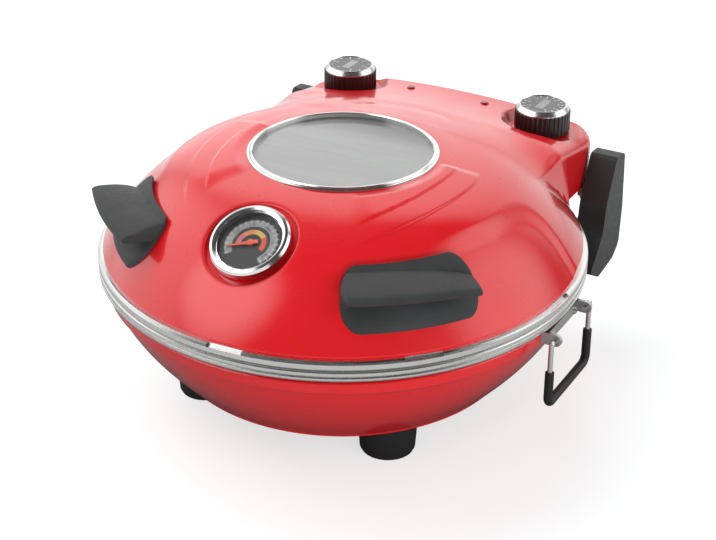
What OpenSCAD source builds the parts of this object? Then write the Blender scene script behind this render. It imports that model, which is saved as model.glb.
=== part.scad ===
// Countertop electric pizza maker: a red clamshell oven with a baking stone in
// its base, a domed lid with a window, and a console of controls at the lid's
// rear. The lid turns on two pins behind the bowl, in towers at either side.

/* [Base bowl] */
// Outer radius of the steel rims at the seam
rim_r = 180; // [174:1:190]
// Clear height of the bowl's flat bottom above the table
foot_h = 23; // [18:1:30]
// Depth of the red bowl
bowl_depth = 79; // [74:1:90]
// Sheet thickness of the bowl
bowl_wall = 1.5; // [1:0.1:2]
// How far the bowl's top edge sits inside the steel rim
bowl_inset = 5; // [4:0.5:7]
// How far the bowl draws in between its top edge and its flat bottom
bowl_draw = 46.4; // [40:1:52]
// Height of the base's steel rim
base_rim_h = 8; // [7:0.5:10]

/* [Feet] */
// Distance of each foot's axis to either side of the bowl's axis
foot_x = 78; // [72:1:80]
// Distance of each foot's axis in front of or behind the bowl's axis
foot_y = 72; // [68:1:76]
// Radius of a foot at the table
foot_r = 20; // [16:0.5:21]

/* [Baking chamber] */
// How far the baking stone's edge lies inside the steel rims
stone_margin = 25; // [24:1:30]
// Thickness of the baking stone
stone_h = 11.5; // [9:0.5:12]
// Gap between the stone and the pan's wall
stone_gap = 4; // [2:0.5:5]
// Depth of the stone's ledge below the seam
ledge_depth = 14; // [12.5:0.5:16]
// Depth of the pan's floor below the ledge
pan_depth = 18; // [17:0.5:22]
// Sheet thickness of the pan and of the lid's liner
liner_wall = 1; // [0.8:0.1:1.5]
// Radius of the heating elements' tubes
element_r = 3.5; // [3:0.1:4]
// How far the lower element's ring lies inside the stone's edge
lower_ring_in = 55; // [45:1:60]
// How far the upper element's ring lies behind the thermometer's axis
upper_ring_in = 30; // [28:1:36]

/* [Lid] */
// Height of the lid's steel rim
lid_rim_h = 6.6; // [5.5:0.1:9]
// Running gap between the two rims
seam_gap = 0.4; // [0.3:0.1:1]
// Rise of the dome above the lid's steel rim
lid_rise = 70; // [66:1:74]
// Sheet thickness of the lid
lid_wall = 2; // [1.5:0.1:2.2]
// How far the red lid sits inside the steel rim
lid_inset = 4; // [3:0.5:5]
// Height of the straight lip along the lid's lower edge
lip_h = 2; // [1.5:0.5:4]
// Length of each notch in the lid rim's top edge
notch_w = 26; // [15:1:32]
// Rise of the liner above its flange
liner_rise = 50; // [46:1:52]

/* [Window] */
// Radius of the window's opening in the lid
window_r = 66.5; // [64:0.5:68]
// How far the bright ring reaches outside the window's opening
window_ring_w = 3; // [2.5:0.5:5]
// Thickness of each pane
glass_h = 3; // [2.5:0.5:4]

/* [Console] */
// Half width of the control console at the lid's rear
console_half_w = 121.5; // [118:0.5:126]
// How far the console's rear face stands out behind the steel rims
console_overhang = 10; // [8:1:16]
// Height of the console's rear edge above the lid's steel rim
console_h = 48; // [46:1:52]
// How much lower the console's top is 100 mm to either side
console_crown = 6; // [4:0.5:8]
// Rise of the low swelling that runs from the console round the window
shoulder_h = 3.2; // [2:0.1:4]
// Radius of the console's rounded top edge
console_edge_r = 6; // [5:0.5:10]
// Radius of the console's rear corners, seen from above
console_corner_r = 16; // [12:1:20]

/* [Controls] */
// Distance of each knob's axis from the middle
knob_x = 86; // [82:1:90]
// Distance of each knob's axis in front of the console's rear face
knob_in = 28; // [26:1:30]
// Depth of each knob's flat seat below the console's rear edge
seat_sink = 5; // [4:0.5:7]
// Radius of a knob
knob_r = 21.5; // [19:0.5:22.5]
// Height of a knob
knob_h = 20.6; // [18:0.2:24]
// Radius of a knob's shaft
shaft_r = 3; // [2.5:0.1:3.5]
// Distance of each indicator lamp from the middle
lamp_x = 33; // [25:1:45]
// Radius of an indicator lamp's lens
lamp_r = 3.5; // [2.5:0.1:4.5]

/* [Thermometer] */
// How far the thermometer's axis lies inside the dome's front edge
dial_in = 54; // [51:1:57]
// Forward tilt of the dial from lying flat
dial_tilt = 30; // [26:1:34]
// Depth of the dial's pocket below the dome
dial_sink = 8; // [7:0.5:9]
// Outer radius of the polished bezel
bezel_r = 28.5; // [26:0.5:30]
// Height of the polished bezel
bezel_h = 9; // [8:0.5:11]
// Width of the gap between the bezel and the pocket's wall
pocket_gap = 4; // [3:0.5:5]

/* [Handles] */
// Direction of each handle, measured from the front
handle_turn = 46.5; // [45:0.5:52]
// Half of the angle that a handle spans
handle_span = 17.5; // [15:0.5:21]
// Thickness of the handle's back plate
handle_plate = 4.5; // [3.5:0.5:6]
// How far a handle's fin reaches outside the dome's edge at its middle
fin_reach = 1; // [0:0.5:4]
// Thickness of a handle's fin near its edge
fin_h = 2.6; // [2:0.1:4]

/* [Hinge] */
// Distance of the hinge axis in front of the console's rear face
hinge_in = 7; // [6:0.5:8]
// Depth of the hinge axis below the lid's steel rim
hinge_drop = 10; // [9:0.5:12]
// Radius of a hinge pin
pin_r = 4; // [3:0.1:4.5]
// Running clearance round each pin and shaft
pin_gap = 0.06; // [0.03:0.01:0.09]
// Width of a hinge tower
tower_w = 22; // [19:0.5:26]
// Wall thickness of a hinge tower
tower_wall = 2.5; // [2:0.1:3]
// Thickness of the hinge's steel plates
plate_h = 2; // [1.5:0.1:2.5]

/* [Bails] */
// Half of the width between a bail's legs
bail_half_w = 34; // [28:1:38]
// Length of a bail from its pivot
bail_len = 48; // [42:1:54]
// Radius of a bail's wire
wire_r = 1.8; // [1.4:0.1:2.2]
// Radius of a bail's sleeve
sleeve_r = 3.2; // [2.8:0.1:4]

/* [Hidden] */
$fn = 96;

// Heights above the table.
bowl_top = foot_h + bowl_depth;
seam_z = bowl_top + base_rim_h;
lid_z = seam_z + seam_gap + lid_rim_h;
ledge_z = seam_z - ledge_depth;
floor_z = ledge_z - pan_depth;
hinge_z = lid_z - hinge_drop;

// The whole object is centred between the rim's front and the console's rear.
axis_y = -console_overhang / 2;
console_back = rim_r + console_overhang;
hinge_back = console_back - hinge_in;

// Radii of the rims and of what lies inside them.
dome_r = rim_r - lid_inset;
bowl_r = rim_r - bowl_inset;
rim_ring_r = rim_r - 12;
rim_lip_r = rim_r - 20;
rim_lip_h = 1.5;
stone_r = rim_r - stone_margin;
pan_r = stone_r + stone_gap;
liner_r = rim_ring_r - 7;
liner_foot = lid_rim_h - rim_lip_h;

// Places that follow from them.
dial_y = dome_r - dial_in;
lower_ring_r = stone_r - lower_ring_in;
upper_ring_r = dial_y - upper_ring_in;
console_front = console_back - 115;
console_rise = [console_back - 130, console_back - 68];
console_flat = console_half_w - 26.5;
shoulder_r = dome_r - 37;
knob_y = console_back - knob_in;
lamp_y = console_back - 21;
seat_r = knob_r + 4.5;
seat_fade = 7;
knob_seat_h = console_h - seat_sink;
knob_gap = 1.6;

fit = 0.05;
soft_gap = 0.3;
through = 400;
lid_rings = 20;
element_gap = 9;
element_clip_turns = [5, 175, 230, 310];
notch_turns = [-86, -43, -4];
tower_x = console_half_w + 1.5 + plate_h;
bail_x = rim_r + 3;
bail_z = seam_z - 15;

// ---- Small functions ----

function clamp01(v) = max(0, min(1, v));
function mix(a, b, t) = a + (b - a) * t;
function smooth(a, b, v) = let (t = clamp01((v - a) / (b - a))) t * t * (3 - 2 * t);
function soft_max(a, b, k) = let (h = max(k - abs(a - b), 0)) max(a, b) + h * h / (4 * k);
function unit(v) = v / norm(v);
function turned(v) = [-v.y, v.x];

// Points of a round corner of radius r at p, between the points before and after it.
function corner(before, p, after, r) =
    let (u = unit(before - p), v = unit(after - p))
    let (half = acos(max(-1, min(1, u * v))) / 2)
    let (reach = min(r / tan(half), norm(before - p) * 0.49, norm(after - p) * 0.49))
    let (centre = p + unit(u + v) * reach / cos(half))
    let (start = p + u * reach - centre, end = p + v * reach - centre)
    let (sweep = atan2(start.x * end.y - start.y * end.x, start * end))
    [for (k = [0:5]) let (a = sweep * k / 5)
        centre + [start.x * cos(a) - start.y * sin(a), start.x * sin(a) + start.y * cos(a)]];

// An outline with its corners rounded by the radii in rs.
function rounded(pts, rs) = let (n = len(pts))
    [for (i = [0:n - 1]) each rs[i] == 0 ? [pts[i]]
        : corner(pts[(i + n - 1) % n], pts[i], pts[(i + 1) % n], rs[i])];

// An outline that runs anticlockwise, moved inward by d.
function inset_outline(pts, d) = let (n = len(pts))
    [for (i = [0:n - 1])
        let (n1 = turned(unit(pts[i] - pts[(i + n - 1) % n])))
        let (n2 = turned(unit(pts[(i + 1) % n] - pts[i])))
        pts[i] + (n1 + n2) * d / (1 + n1 * n2)];

module placed(z = 0) { translate([0, axis_y, z]) children(); }
module on_side(side) { mirror([side < 0 ? 1 : 0, 0, 0]) children(); }
module along_x(x, h, r) { translate([x, 0, 0]) rotate([0, 90, 0]) cylinder(h = h, r = r); }

// ---- Base ----

// Outer radius of the bowl at the depth t below its top edge.
function bowl_at(t) = bowl_r - bowl_draw * pow(max(t, 0) / (bowl_depth - 4), 1.59);

band_depth = 12;
neck_r = bowl_r - 3;
bowl_steps = [for (k = [0:11]) mix(band_depth + 2.5, bowl_depth - 4, k / 11)];
bowl_floor_r = bowl_at(bowl_depth - 4) - 9;
bowl_facets = 360;

function bowl_outside() = concat(
    [[neck_r, bowl_top], [neck_r, bowl_top - 2.5], [bowl_r - 0.6, bowl_top - 3.1],
     [bowl_r, bowl_top - 4.2], [bowl_r - 0.6, bowl_top - band_depth]],
    [for (t = bowl_steps) [bowl_at(t), bowl_top - t]],
    [[mix(bowl_floor_r, bowl_at(bowl_depth - 4), 0.55), foot_h + 1.1], [bowl_floor_r, foot_h]]);

function bowl_inside() = concat(
    [[bowl_floor_r - 1, foot_h + bowl_wall]],
    [for (k = [len(bowl_steps) - 1:-1:0]) let (t = bowl_steps[k])
        [bowl_at(t) - bowl_wall * 1.6, bowl_top - t + bowl_wall * 0.5]],
    [[bowl_r - 0.6 - bowl_wall, bowl_top - band_depth], [bowl_r - bowl_wall, bowl_top - 4.8],
     [neck_r - bowl_wall, bowl_top - 4], [neck_r - bowl_wall, bowl_top - bowl_wall]]);

module bowl_solid() {
    rotate_extrude($fn = bowl_facets) polygon(concat([[0, foot_h], [0, bowl_top]], bowl_outside()));
}

module base_bowl() {
    flange_r = neck_r - 7;
    color("red") placed() difference() {
        rotate_extrude() polygon(concat(bowl_outside(), [[0, foot_h], [0, foot_h + bowl_wall]],
            bowl_inside(), [[flange_r, bowl_top - bowl_wall], [flange_r, bowl_top]]));
        at_feet() translate([0, 0, foot_h - 1]) cylinder(h = bowl_wall + 2, r = bolt_r + fit);
        at_gland() cylinder(h = 40, r = gland_r + fit, center = true);
        for (side = [-1, 1]) rivet_bores(side, fit);
    }
}

module base_rim() {
    h = base_rim_h;
    groove = h * 0.45;
    color("silver") placed(bowl_top) rotate_extrude() polygon([
        [rim_ring_r, 0], [rim_r - 1.5, 0], [rim_r - 0.4, 0.5], [rim_r, 1.5], [rim_r, groove - 0.9],
        [rim_r - 1.8, groove - 0.3], [rim_r - 1.8, groove + 0.6], [rim_r, groove + 1.2],
        [rim_r, h - 1.2], [rim_r - 0.4, h - 0.4], [rim_r - 1.4, h],
        [rim_lip_r, h], [rim_lip_r, h - rim_lip_h], [rim_ring_r, h - rim_lip_h]]);
}

module base_pan() {
    w = liner_wall;
    well_r = stone_r - 5;
    color("lightgrey") placed() difference() {
        rotate_extrude() polygon([
            [0, floor_z - w], [well_r + w, floor_z - w], [well_r + w, ledge_z - w],
            [pan_r + w, ledge_z - w], [pan_r + w, bowl_top], [rim_ring_r - soft_gap, bowl_top],
            [rim_ring_r - soft_gap, bowl_top + w], [pan_r, bowl_top + w], [pan_r, ledge_z],
            [well_r, ledge_z], [well_r, floor_z], [0, floor_z]]);
        at_terminals(lower_ring_r) cylinder(h = through, r = leg_hole_r, center = true);
    }
}

module baking_stone() {
    edge = 1.2;
    color("tan") placed(ledge_z) rotate_extrude() polygon([
        [0, 0], [stone_r - edge, 0], [stone_r, edge], [stone_r, stone_h - edge],
        [stone_r - edge, stone_h], [0, stone_h]]);
}

// Both heating elements: a ring with a gap at the rear, where its ends turn
// away from the stone as terminals of the length leg.
lower_element_z = floor_z + element_r + 6;
upper_element_z = lid_z + liner_at(upper_ring_r) - element_r - 6;
leg_r = element_r + 0.7;
leg_hole_r = leg_r + 1.2;

module at_terminals(ring_r) {
    for (a = [90 - element_gap, 90 + element_gap]) rotate(a) translate([ring_r, 0, 0]) children();
}

module ring_tube(ring_r, z, r, turn) {
    translate([0, 0, z]) rotate(90 + element_gap) rotate_extrude(angle = turn)
        translate([ring_r, 0]) circle(r = r, $fn = 32);
}

module element(ring_r, z, leg) {
    ring_tube(ring_r, z, element_r, 360 - 2 * element_gap);
    at_terminals(ring_r) translate([0, 0, z]) mirror([0, 0, leg < 0 ? 1 : 0])
        translate([0, 0, -leg_r]) cylinder(h = abs(leg) + leg_r, r = leg_r);
}

module lower_element() {
    color("dimgray") placed() element(lower_ring_r, lower_element_z, -22);
}

module lower_element_clips() {
    color("silver") placed() difference() {
        for (a = element_clip_turns) rotate(a) translate([lower_ring_r - 7, -2.5, floor_z])
            cube([14, 5, lower_element_z - floor_z + 1.5]);
        ring_tube(lower_ring_r, lower_element_z, element_r + fit, 360);
    }
}

// A ceramic bush: a neck in the sheet's hole under a flange that lies on the sheet.
bush_r = leg_r + 2.5;

module bush(sheet_z) {
    difference() {
        union() {
            translate([0, 0, sheet_z - liner_wall - 2]) cylinder(h = liner_wall + 2, r = leg_hole_r - fit);
            translate([0, 0, sheet_z]) cylinder(h = 2, r = bush_r);
        }
        translate([0, 0, sheet_z - 10]) cylinder(h = 20, r = leg_r + fit);
    }
}

module lower_element_bushes() {
    color("white") placed() at_terminals(lower_ring_r) bush(floor_z);
}

bolt_r = 2;
bolt_well = 13;

module at_feet() {
    for (x = [-foot_x, foot_x], y = [-foot_y, foot_y]) translate([x, y, 0]) children();
}

// A foot: its top follows the bowl's underside, and a well holds its bolt's head.
module foot(x, y) {
    color("black") placed() difference() {
        translate([x, y, 0]) difference() {
            union() {
                cylinder(h = 2, r1 = foot_r - 1, r2 = foot_r);
                translate([0, 0, 2]) cylinder(h = foot_h + 6, r1 = foot_r, r2 = foot_r + 2);
            }
            translate([0, 0, -1]) cylinder(h = bolt_well + 1, r = 6.5);
            cylinder(h = through, r = bolt_r + fit);
        }
        bowl_solid();
    }
}

module foot_front_left() { foot(-foot_x, -foot_y); }
module foot_front_right() { foot(foot_x, -foot_y); }
module foot_rear_left() { foot(-foot_x, foot_y); }
module foot_rear_right() { foot(foot_x, foot_y); }

module foot_bolts() {
    color("silver") placed() at_feet() {
        translate([0, 0, bolt_well - 3]) cylinder(h = 3, r = 5);
        translate([0, 0, bolt_well - 0.5]) cylinder(h = foot_h - bolt_well + 7, r = bolt_r);
        translate([0, 0, foot_h + bowl_wall]) cylinder(h = 3, r = 4, $fn = 6);
    }
}

// The mains cord's gland, in the bowl's rear wall.
gland_r = 7;
gland_z = foot_h + 37;

gland_t = bowl_top - gland_z;
gland_tilt = atan(bowl_draw * 1.59 / (bowl_depth - 4) * pow(gland_t / (bowl_depth - 4), 0.59));

// Square to the bowl's wall, with z pointing out of it.
module at_gland() {
    translate([0, bowl_at(gland_t), gland_z]) rotate([-90 - gland_tilt, 0, 0]) children();
}

module power_gland() {
    bore_r = 3.5;
    color("black") placed() at_gland() rotate_extrude() polygon([
        [bore_r, -10], [gland_r, -10], [gland_r, 0.1], [gland_r + 4, 0.1], [gland_r + 4, 2.4],
        [gland_r + 3.4, 3], [gland_r + 0.5, 3], [gland_r + 0.5, 9], [gland_r - 1.5, 15], [bore_r, 15]]);
}

// ---- Hinge ----

module at_hinge() { translate([0, hinge_back, hinge_z]) children(); }

// Side outline of a tower, from the hinge axis: its foot sweeps forward to the bowl.
tower_points = [[4, 38], [-13, 39], [-29, 4], [-32, -18], [-45, -35], [-54, -44],
    [-35, -55], [-6, -51], [6, -43], [8, -10]];
tower_corners = [5, 4, 20, 20, 20, 6, 8, 8, 10, 20];
tower_core = [for (r = tower_corners) max(r - tower_wall, 1)];

module side_plate(x, h, pts) {
    translate([x, 0, 0]) rotate([90, 0, 90]) linear_extrude(height = h) polygon(pts);
}

module tower(side) {
    color([0.12, 0.12, 0.12]) placed() on_side(side) at_hinge() difference() {
        union() {
            difference() {
                side_plate(tower_x, tower_w, rounded(tower_points, tower_corners));
                side_plate(tower_x - 1, tower_w + 1 - tower_wall,
                    rounded(inset_outline(tower_points, tower_wall), tower_core));
            }
            along_x(tower_x, tower_w - 1, pin_r + 3.5);
            translate([tower_x, -30, -34]) cube([tower_w - 1, 26, 2]);
        }
        along_x(tower_x - 1, tower_w - 5, pin_r + pin_gap);
    }
}

module hinge_tower_left() { tower(-1); }
module hinge_tower_right() { tower(1); }

// Steel plate that carries a tower: it runs forward under the rim to the bowl.
plate_points = [[6, 9], [-10, 9], [-24, -12], [-95, -14], [-95, -34], [-60, -36],
    [-40, -45], [0, -41], [7, -8]];
plate_corners = [6, 6, 10, 0, 0, 10, 8, 8, 10];

module hinge_plate(side) {
    color("silver") placed() difference() {
        on_side(side) at_hinge() difference() {
            side_plate(tower_x - plate_h, plate_h, rounded(plate_points, plate_corners));
            along_x(tower_x - plate_h - 1, plate_h + 2, pin_r + pin_gap);
        }
        bowl_solid();
    }
}

module hinge_plate_left() { hinge_plate(-1); }
module hinge_plate_right() { hinge_plate(1); }

ear_x = console_half_w - 5.5;
ear_h = 3;
ear_foot = 20;

// Steel ear that hangs from the console and holds its pin.
module hinge_ear(side) {
    color("silver") placed() on_side(side) difference() {
        union() {
            at_hinge() along_x(ear_x, ear_h, pin_r + 4);
            translate([ear_x, hinge_back - 12, hinge_z]) cube([ear_h, 17, hinge_drop]);
            translate([ear_x - ear_foot, hinge_back - 12, lid_z - plate_h]) cube([ear_foot, 17, plate_h]);
        }
        at_hinge() along_x(ear_x - 1, ear_h + 2, pin_r);
        at_ear_screws() cylinder(h = through, r = 1.5, center = true);
    }
}

module hinge_ear_left() { hinge_ear(-1); }
module hinge_ear_right() { hinge_ear(1); }

module hinge_pin(side) {
    color("silver") placed() on_side(side) at_hinge() {
        along_x(ear_x - 2, 2, pin_r + 2);
        along_x(ear_x - 0.5, tower_x + tower_w - 7 - ear_x, pin_r);
    }
}

module hinge_pin_left() { hinge_pin(-1); }
module hinge_pin_right() { hinge_pin(1); }

module at_ear_screws() {
    for (x = [ear_x - 15, ear_x - 6]) translate([x, hinge_back - 4, lid_z]) children();
}

module ear_screws() {
    color("silver") placed() for (side = [-1, 1]) on_side(side) at_ear_screws() {
        translate([0, 0, -plate_h - 2]) cylinder(h = 2, r = 3);
        translate([0, 0, -plate_h - 0.5]) cylinder(h = plate_h + 5, r = 1.5);
    }
}

// ---- Bails ----

ear_inner = bail_half_w - 6;
bracket_h = 9;
bracket_ear = 2.5;
strip_x = bowl_r + 2.5;
rivet_r = 2;
rivet_y = ear_inner - 8;
rivet_head = 3;
rivet_z = bail_z - 1.1;
rivet_back = sqrt(pow(bowl_r - bowl_wall - 0.6, 2) - pow(rivet_y + rivet_head + 0.4, 2)) - 0.1;

module at_rivets(side) {
    on_side(side) for (s = [-1, 1]) translate([0, s * rivet_y, rivet_z]) rotate([0, 90, 0]) children();
}

module rivet_bores(side, extra) {
    at_rivets(side) translate([0, 0, rivet_back - 5]) cylinder(h = 20, r = rivet_r + extra);
}

// Bracket on the bowl's side: a strip with an ear for each of the bail's ends.
module bail_bracket(side) {
    tip = bail_x + bracket_h / 2;
    back = bowl_r - 8;
    ear = rounded([[back, -bracket_h / 2], [tip, -bracket_h / 2], [tip, bracket_h / 2],
        [back, bracket_h / 2]], [0, 4.3, 4.3, 0]);
    color("silver") placed() difference() {
        on_side(side) difference() {
            union() {
                translate([back, -ear_inner + 1, bail_z - bracket_h / 2 + 0.5])
                    cube([strip_x - back, 2 * ear_inner - 2, bracket_h - 1]);
                for (y = [-ear_inner + bracket_ear, ear_inner]) translate([0, y, bail_z])
                    rotate([90, 0, 0]) linear_extrude(height = bracket_ear) polygon(ear);
            }
            translate([bail_x, 0, bail_z]) rotate([90, 0, 0])
                cylinder(h = through, r = wire_r + pin_gap, center = true);
        }
        bowl_solid();
        rivet_bores(side, 0);
    }
}

module bail_bracket_left() { bail_bracket(-1); }
module bail_bracket_right() { bail_bracket(1); }

module bail_rivets() {
    color("silver") placed() for (side = [-1, 1]) at_rivets(side) {
        translate([0, 0, rivet_back - 1.5]) cylinder(h = 1.5, r = rivet_head);
        translate([0, 0, rivet_back - 0.5]) cylinder(h = strip_x - rivet_back + 1, r = rivet_r);
        translate([0, 0, strip_x]) cylinder(h = 1.4, r1 = rivet_head - 0.2, r2 = rivet_head - 0.9);
    }
}

// A bail hangs from its pivot: two hooked ends, two legs and a bottom bar.
bail_bend = 6;
sleeve_top = 22;

module wire_bend(y, z, r, from) {
    translate([0, y, z]) rotate([0, 90, 0]) rotate(from) rotate_extrude(angle = 90)
        translate([bail_bend, 0]) circle(r = r, $fn = 32);
}

module bail(side) {
    w = bail_half_w;
    color("silver") placed() on_side(side) translate([bail_x, 0, bail_z]) {
        for (s = [-1, 1]) mirror([0, s < 0 ? 1 : 0, 0]) {
            translate([0, ear_inner - 5, 0]) rotate([-90, 0, 0]) cylinder(h = w - ear_inner + 5, r = wire_r, $fn = 32);
            translate([0, w, 0]) sphere(r = wire_r, $fn = 32);
            translate([0, w, -bail_len + bail_bend]) cylinder(h = bail_len - bail_bend, r = wire_r, $fn = 32);
            wire_bend(w - bail_bend, -bail_len + bail_bend, wire_r, 0);
        }
        translate([0, -w + bail_bend, -bail_len]) rotate([-90, 0, 0]) cylinder(h = 2 * (w - bail_bend), r = wire_r, $fn = 32);
    }
}

module bail_left() { bail(-1); }
module bail_right() { bail(1); }

module sleeve_path(r) {
    w = bail_half_w;
    for (s = [-1, 1]) mirror([0, s < 0 ? 1 : 0, 0]) {
        translate([0, w, -bail_len + bail_bend]) cylinder(h = bail_len - bail_bend - sleeve_top, r = r, $fn = 32);
        wire_bend(w - bail_bend, -bail_len + bail_bend, r, 0);
    }
    translate([0, -w + bail_bend, -bail_len]) rotate([-90, 0, 0]) cylinder(h = 2 * (w - bail_bend), r = r, $fn = 32);
}

module bail_sleeve(side) {
    color("black") placed() on_side(side) translate([bail_x, 0, bail_z]) difference() {
        sleeve_path(sleeve_r);
        sleeve_path(wire_r);
        for (s = [-1, 1]) translate([0, s * bail_half_w, -sleeve_top - 1]) cylinder(h = 4, r = wire_r, $fn = 32);
    }
}

module bail_sleeve_left() { bail_sleeve(-1); }
module bail_sleeve_right() { bail_sleeve(1); }

// ---- Lid ----

// Height of the plain dome above the lid's steel rim.
function dome(r) = lip_h + (lid_rise - lip_h) * (1 - pow(r / dome_r, 4));
function dome_slope(r) = atan(4 * (lid_rise - lip_h) * pow(r, 3) / pow(dome_r, 4));

// Underside of the liner above the lid's steel rim.
function liner_at(r) = -liner_foot + liner_rise * (1 - pow(r / liner_r, 4));

// Distance inside the console's outline, negative outside it.
function console_inset(x, y) =
    let (qx = abs(x) - (console_half_w - console_corner_r))
    let (qy = y - (console_back - console_corner_r))
    console_corner_r - norm([max(qx, 0), max(qy, 0)]) - min(max(qx, qy), 0);

// Drop of the console's rounded edge, d inside its outline.
function edge_drop(d) =
    d >= console_edge_r ? 0 :
    d >= 0 ? console_edge_r - sqrt(pow(console_edge_r, 2) - pow(console_edge_r - d, 2)) :
    console_edge_r - 3 * d;

// Top of the console: a ramp that falls back from the dome, crowned across.
function console_top(x, y) =
    let (back = clamp01((console_back - y) / (console_back - console_front)))
    console_h + (lid_rise - 2 - console_h) * pow(back, 1.6)
    - console_crown * pow(x / 100, 2)
    - 0.009 * pow(max(0, abs(x) - console_flat), 2)
    - edge_drop(console_inset(x, y));

// Low swelling of the lid's top, which ends in a soft valley above the handles.
function shoulder(x, y, r) =
    shoulder_h * smooth(0, 13, soft_max(shoulder_r - r, y - 17, 30))
    * smooth(-100, -30, y) * smooth(window_r + 17.5, dial_y + 4, r);

// The dome and, rising out of it towards the rear, the console.
function lid_top(x, y) =
    let (r = norm([x, y]), plain = dome(r))
    plain + max(0, console_top(x, y) - plain) * smooth(console_rise[0], console_rise[1], y)
    + shoulder(x, y, r);

// The lid's outer surface above its steel rim, with a flat seat under each knob.
function lid_height(x, y) =
    mix(knob_seat_h, lid_top(x, y),
        smooth(seat_r, seat_r + seat_fade, norm([abs(x) - knob_x, y - knob_y])));

// How far the console reaches from the bowl's axis in the direction a.
function console_reach(a) =
    let (c = abs(cos(a)), s = sin(a))
    let (t = min(console_half_w / max(c, 0.001), console_back / max(s, 0.001)))
    let (cx = console_half_w - console_corner_r, cy = console_back - console_corner_r)
    let (along = c * cx + s * cy)
    (t * c > cx && t * s > cy)
        ? along + sqrt(pow(console_corner_r, 2) - cx * cx - cy * cy + along * along)
        : t;
function lid_reach(a) = sin(a) <= 0 ? dome_r : max(dome_r, console_reach(a));

// Directions of the lid's sections: closer together across the console.
lid_turns = concat([for (a = [-214:4:34]) a], [for (a = [36:2:144]) a]);

function surface_point(a, r, drop) =
    let (x = r * cos(a), y = r * sin(a)) [x, y, lid_height(x, y) - drop];

// One closed section of the lid's sheet: over the top, round the edge and back below,
// where each point lies straight under one of the top's.
function lid_section(a) =
    let (out = lid_reach(a), in = out - lid_wall)
    let (reach = [for (k = [0:lid_rings]) mix(window_r, out, 1 - pow(1 - k / lid_rings, 1.5))])
    concat(
        [for (r = reach) surface_point(a, r, 0)],
        [[out * cos(a), out * sin(a), 0], [in * cos(a), in * sin(a), 0], surface_point(a, in, lid_wall)],
        [for (k = [lid_rings - 2:-1:0]) surface_point(a, reach[k], lid_wall)]);

// A closed shell through sections that run round the axis. From the point "under" on, the
// facets are split the other way, so that they lie parallel to those above them.
module lofted_ring(sections, under) {
    n = len(sections);
    m = len(sections[0]);
    polyhedron(
        points = [for (s = sections) each s],
        faces = [for (i = [0:n - 1], j = [0:m - 1])
            let (i2 = (i + 1) % n, j2 = (j + 1) % m)
            let (p = i * m + j, q = i2 * m + j, r = i2 * m + j2, s = i * m + j2)
            each (j < under ? [[p, q, r], [p, r, s]] : [[p, q, s], [q, r, s]])],
        convexity = 6);
}

module dome_solid(lift) {
    rotate_extrude() polygon(concat([[0, -20], [0, dome(0) + lift]],
        [for (k = [1:20]) let (r = dome_r * k / 20) [r, dome(r) + lift]], [[dome_r, -20]]));
}

module at_dial() {
    translate([0, -dial_y, dome(dial_y) - dial_sink]) rotate([dial_tilt, 0, 0]) children();
}

module at_knob(side) { translate([side * knob_x, knob_y, 0]) children(); }

module at_lamp(side) {
    translate([side * lamp_x, lamp_y, lid_height(lamp_x, lamp_y)]) children();
}

module lid_shell() {
    pocket_r = bezel_r + pocket_gap;
    color("red") placed(lid_z) difference() {
        union() {
            lofted_ring([for (a = lid_turns) lid_section(a)], lid_rings + 1);
            intersection() {
                at_dial() translate([0, 0, -lid_wall]) cylinder(h = 30, r = pocket_r + lid_wall);
                dome_solid(0);
            }
        }
        at_dial() cylinder(h = 60, r = pocket_r);
        at_dial() cylinder(h = 60, r = stem_r + fit, center = true);
        for (s = [-1, 1]) {
            at_knob(s) cylinder(h = through, r = shaft_r + 1);
            at_lamp(s) cylinder(h = 20, r = lamp_r + fit, center = true);
        }
        at_handle_screws() cylinder(h = 12, r = 2 + fit, center = true);
    }
}

module lid_rim() {
    h = lid_rim_h;
    color("silver") placed(lid_z - h) difference() {
        rotate_extrude() polygon([
            [rim_lip_r, 0], [rim_r - 1.2, 0], [rim_r - 0.3, 0.4], [rim_r, 1.2], [rim_r, h - 2],
            [rim_r - 0.6, h - 0.6], [rim_r - 2, h], [rim_ring_r, h], [rim_ring_r, rim_lip_h],
            [rim_lip_r, rim_lip_h]]);
        for (a = notch_turns) rotate(a) translate([rim_r - lid_inset + 0.5, -notch_w / 2, h - 2.2])
            cube([20, notch_w, 10]);
    }
}

module lid_liner() {
    w = liner_wall;
    steps = [for (k = [0:14]) mix(window_r - 2, liner_r, k / 14)];
    color("lightgrey") placed(lid_z) difference() {
        rotate_extrude() polygon(concat(
            [for (r = steps) [r, liner_at(r)]],
            [[rim_ring_r - soft_gap, -liner_foot], [rim_ring_r - soft_gap, w - liner_foot]],
            [for (k = [len(steps) - 1:-1:0]) [steps[k] + (k > 8 ? w * 0.8 : 0), liner_at(steps[k]) + w]]));
        at_terminals(upper_ring_r) cylinder(h = through, r = leg_hole_r, center = true);
        at_dial() translate([0, 0, -60]) cylinder(h = 56, r = stem_r + 1);
    }
}

module upper_element() {
    color("dimgray") placed() element(upper_ring_r, upper_element_z, 22);
}

module upper_element_clips() {
    color("silver") placed() difference() {
        for (a = element_clip_turns) rotate(a)
            translate([upper_ring_r - 7, -2.5, upper_element_z - 1.5]) cube([14, 5, 20]);
        ring_tube(upper_ring_r, upper_element_z, element_r + fit, 360);
        translate([0, 0, lid_z]) rotate_extrude() polygon(concat([[0, lid_rise], [0, liner_at(0)]],
            [for (k = [0:14]) let (r = mix(window_r - 2, liner_r, k / 14)) [r, liner_at(r)]],
            [[liner_r, lid_rise]]));
    }
}

module upper_element_bushes() {
    color("white") placed() at_terminals(upper_ring_r) bush(lid_z + liner_at(upper_ring_r - bush_r) + liner_wall);
}

// Heights of the window's stack above the lid's steel rim.
glass_z = dome(window_r) - 5;
inner_glass_z = liner_at(window_r - 2) + 2 * liner_wall;
sleeve_in = window_r - 3;

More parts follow.
